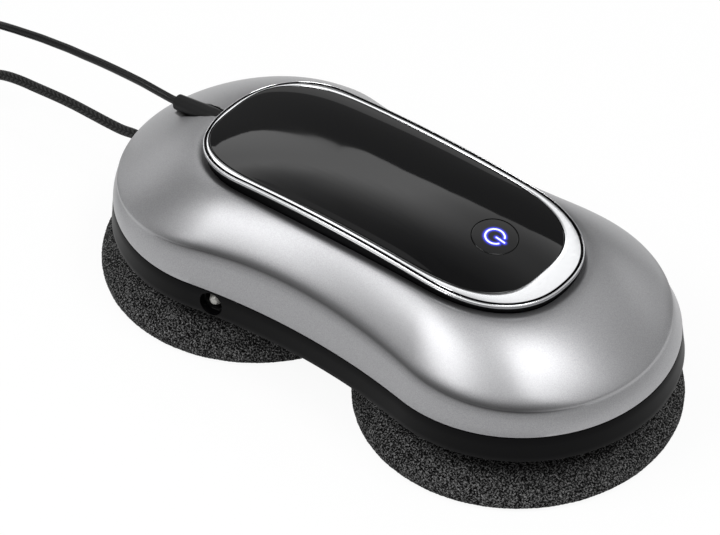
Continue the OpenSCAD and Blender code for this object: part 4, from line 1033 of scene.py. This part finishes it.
def makePad(side, material, body, node, name):
    # side is 1 at the front disc and -1 at the rear one
    p = padShape
    fine = splineThrough([(r, 0, z) for r, z in p["profile"]], 3)
    tufts, lumps, liftTufts = p["tufts"], p["lumps"], p["liftTufts"]
    # 50, 9 and 40 only move the noise, so that no two of its uses are alike
    points = []
    for v in fine:
        for k in range(p["sides"]):
            a = 2 * pi * k / p["sides"]
            x, y = v.x * cos(a), v.x * sin(a)
            tuft = noise.noise(Vector((x * tufts, y * tufts, v.z * tufts + side * 50)))
            lump = noise.noise(Vector((x * lumps, y * lumps, side * 9.0)))
            upward = noise.noise(Vector((x * liftTufts + 40, y * liftTufts, v.z * liftTufts)))
            loose = smooth((v.x - p["looseFrom"]) / p["looseOver"]) * (1 if v.z > p["looseAbove"] else 0)
            push = loose * (p["pile"] * tuft + p["lump"] * lump)
            lift = loose * p["pile"] * p["liftShare"] * upward
            r, z = min(p["reach"], v.x + push), max(p["overFloor"], v.z + lift)
            points.append((side * p["discX"] + r * cos(a), r * sin(a), z))
    pad = makePiece(name, points, bandFaces(len(fine), p["sides"]), material, body, None)
    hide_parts(node)


microfibre = microfibreMaterial()
makePad(1, microfibre, "front_disc", "front_pad", "frontPadCloth")
makePad(-1, microfibre, "rear_disc", "rear_pad", "rearPadCloth")
print("stage: pads")


# carried CAD pieces

# brushed or turned metal: fine lines from the tool, which spread its highlights
def turnedMetalMaterial(name, tone, roughness, markSize=0.83):
    material, tree, shader, _ = startMaterial(name, {
        "Base Color": tone, "Metallic": 1.0, "Roughness": roughness})
    # the tool's lines are near 0.3 mm apart; they are drawn coarser so that they show
    addGrain(tree, shader, markSize, {"Detail": 2.0}, rough=(roughness - 0.06, roughness + 0.08))
    return material


moulded = {
    "base_plate": ("mouldedAbsPlate", "#161617", 0.5), "button_board": ("solderMask", "#0E3B20", 0.35),
    "side_socket": ("mouldedAbsSocket", "#0B0B0C", 0.4),
    "front_wheel": ("mouldedAbsWheel", "#141415", 0.5),
    "strain_relief": ("mouldedRubberBoot", "#070708", 0.48, 0.35, 0.25),
    "rope_grommet": ("mouldedRubberGland", "#0E0E0F", 0.55),
    "battery_pack": ("shrinkWrap", "#1F5B37", 0.3),
    "front_motor_stand": ("mouldedAbsStand", "#1D1D1E", 0.5),
    "front_wheel_gear": ("acetalGear", "#DCD8CC", 0.4),
    "button_switch": ("mouldedNylonBlack", "#1B1B1C", 0.45),
    "plug_body": ("mouldedPvcPlug", "#0E0E0F", 0.45)}
turned = {
    "front_bearing": ("sinteredBronze", "#B08A52", 0.5), "front_pinion": ("cutSteel", "#B4B5B8", 0.3),
    "front_motor": ("zincPlatedSteel", "#B9BABD", 0.35), "case_screws": ("blackenedSteel", "#3A3A3C", 0.4),
    "plug_sleeve": ("nickelSleeve", "#D5D4CF", 0.25), "rope_ferrule": ("pressedAluminium", "#B9BABB", 0.4)}
carriedFinishes = {node: mouldedAbsMaterial(*finish) for node, finish in moulded.items()}
carriedFinishes.update({node: turnedMetalMaterial(*finish) for node, finish in turned.items()})
# the rear drive has the front one's finishes
sameFinish = {
    "fan_housing": "front_motor_stand", "air_duct": "front_motor_stand",
    "fan_impeller": "front_wheel_gear", "fan_shaft": "front_pinion", "fan_motor": "front_motor",
    "main_board": "button_board", "board_parts": "button_switch"}
for name, cadNode in cadNodes.items():
    finish = carriedFinishes.get(sameFinish.get(name, name.replace("rear_", "front_")))
    if finish and not cadNode.hide_render:
        cadNode.data.materials.clear()
        cadNode.data.materials.append(finish)
print("stage: carried pieces")


# room and light

# a way is in degrees from the near side round by the button end; the far card's edge is (way, elevation),
# its glow (elevation, strength), and it is dark below its edge; distances and sizes here are metres
roomSettings = {
    "floorTone": "#F2F2F2", "floorLift": 0.93, "floorReach": 30.0, "floorZ": -0.0002, "surround": 0.46,
    "farCard": {"distance": 3.0, "middle": 0.086, "dark": 0.18, "low": 13.0, "top": 84, "softEdge": 0.15,
                "rows": (0, 0.03, 0.06, 0.1, 0.15, 0.2, 0.26, 0.33, 0.41, 0.5, 0.6, 0.72, 0.85, 1),
                "edge": [(-92, 42), (-105, 34.8), (-113.2, 30.3), (-117.9, 27.7), (-121, 26.5),
                         (-123.6, 25.7), (-125.4, 25.6), (-127, 26.5), (-128.4, 28), (-131, 31.4),
                         (-135.2, 36.6), (-140.1, 39.6), (-143.5, 42.2), (-148, 44.6), (-154, 46.5),
                         (-158.8, 47.5), (-167, 47.7), (-176.2, 46), (-190, 43), (-205, 40)],
                "glow": [(20, 1.5), (37, 1.5), (44, 1.7), (48, 1.1), (53, 0.6), (57, 0.36), (60, 0.28),
                         (66, 0.2), (70, 0.15), (86, 0.15)]},
    "flag": {"way": -77.0, "elevation": 34.0, "distance": 2.0, "across": 1.15, "strength": 0.02,
             "sides": 32},
    "lamps": {"leftSoftbox": {"way": -25.0, "elevation": 53.0, "distance": 1.5, "size": (0.8, 0.6),
                              "power": 9.4},
              "rightSoftbox": {"way": 85.0, "elevation": 66.0, "distance": 1.5, "size": (0.75, 0.6),
                               "power": 9.5},
              "rearFill": {"way": -98.0, "elevation": 18.0, "distance": 1.8, "size": (0.9, 0.5),
                           "power": 1.6},
              "farFill": {"way": 168.0, "elevation": 25.0, "distance": 1.8, "size": (0.7, 0.5),
                          "power": 1.4}}}


def towards(way, elevation=0.0):
    a, e = radians(way), radians(elevation)
    return Vector((sin(a) * cos(e), -cos(a) * cos(e), sin(e)))


def addStagePiece(name, points, faces, material, glow=None, seen=True):
    mesh = bpy.data.meshes.new(name)
    mesh.from_pydata([tuple(p) for p in points], [], faces)
    if glow:
        storeValues(mesh, "glow", glow)
    piece = addObject(name, mesh)
    mesh.materials.append(material)
    piece.visible_camera = seen


# white paper floor; the camera and shiny pieces see it lifted to white, with the shadow kept
def paperFloorMaterial(room):
    material, tree, shader, output = startMaterial("whitePaper", {
        "Base Color": room["floorTone"], "Roughness": 0.9, "Specular IOR Level": 0.1})
    glow = addNode(tree, "Emission", {"Color": "#FFFFFF", "Strength": 1.0})
    path = addNode(tree, "LightPath")
    seen = addNode(tree, "Math", {"operation": "MAXIMUM"}, in0=path.outputs["Is Camera Ray"],
                   in1=path.outputs["Is Glossy Ray"])
    seenAll = addNode(tree, "Math", {"operation": "MAXIMUM"}, in0=seen,
                      in1=path.outputs["Is Transmission Ray"])
    lift = addNode(tree, "Math", {"operation": "MULTIPLY", 1: room["floorLift"]}, in0=seenAll)
    blend = addNode(tree, "MixShader", Fac=lift, in1=shader, in2=glow)
    link(tree, output, Surface=blend)
    return material


# white card or black cloth that shows in the shiny pieces, with its brightness stored at its points
def litCardMaterial(name):
    material, tree, shader, output = startMaterial(name)
    tree.nodes.remove(shader)
    strength = addNode(tree, "Attribute", {"attribute_name": "glow"})
    glow = addNode(tree, "Emission", {"Color": "#FFFFFF"}, Strength=strength.outputs["Fac"])
    link(tree, output, Surface=glow)
    return material


def addFarCard(card, material):
    # curved card behind the object: unlit below its edge, bright just above it and fading upwards
    points, glow, faces = [], [], []
    rows = len(card["rows"]) + 2
    edge = card["edge"]
    ways = [mix(a[0], b[0], i / 4) for a, b in zip(edge, edge[1:]) for i in range(4)] + [edge[-1][0]]
    for way in ways:
        bottom = lookUp([(-w, e) for w, e in edge], -way)
        column = [(card["low"], card["dark"]), (bottom - card["softEdge"], card["dark"])]
        heights = [mix(bottom, card["top"], share) for share in card["rows"]]
        column += [(e, lookUp(card["glow"], e)) for e in heights]
        for elevation, strength in column:
            points.append(towards(way, elevation) * card["distance"] + Vector((0, 0, card["middle"])))
            glow.append(strength)
    for i in range(len(ways) - 1):
        for k in range(rows - 1):
            a, c = i * rows + k, (i + 1) * rows + k
            faces.append((a, c, c + 1, a + 1))
    addStagePiece("farCard", points, faces, material, glow, seen=False)


def makeRoom(room):
    scene = bpy.context.scene
    scene.view_settings.view_transform = "Standard"
    world = bpy.data.worlds.new("studio")
    scene.world = world
    world.use_nodes = True
    tree = world.node_tree
    tree.nodes.clear()
    background = addNode(tree, "Background", {"Color": "#FFFFFF", "Strength": room["surround"]})
    addNode(tree, "OutputWorld", Surface=background)

    reach, z = room["floorReach"], room["floorZ"]
    corners = [(-reach, -reach, z), (reach, -reach, z), (reach, reach, z), (-reach, reach, z)]
    addStagePiece("floor", corners, [(0, 1, 2, 3)], paperFloorMaterial(room))
    litCard = litCardMaterial("litCard")
    addFarCard(room["farCard"], litCard)

    flag = room["flag"]
    middle = towards(flag["way"], flag["elevation"]) * flag["distance"]
    side, up = towards(flag["way"] + 90), towards(flag["way"], flag["elevation"] + 90)
    ring = circlePoints(middle, side, up, flag["across"] / 2, flag["sides"])
    addStagePiece("flag", ring, [tuple(range(flag["sides"]))], litCard, [flag["strength"]] * flag["sides"],
                  seen=False)

    for name, lampSettings in room["lamps"].items():
        lamp = bpy.data.lights.new(name, "AREA")
        lamp.shape = "RECTANGLE"
        lamp.size, lamp.size_y = lampSettings["size"]
        lamp.energy = lampSettings["power"]
        holder = addObject(name, lamp)
        holder.location = towards(lampSettings["way"], lampSettings["elevation"]) * lampSettings["distance"]
        aim(holder, holder.location)


makeRoom(roomSettings)
print("stage: room")
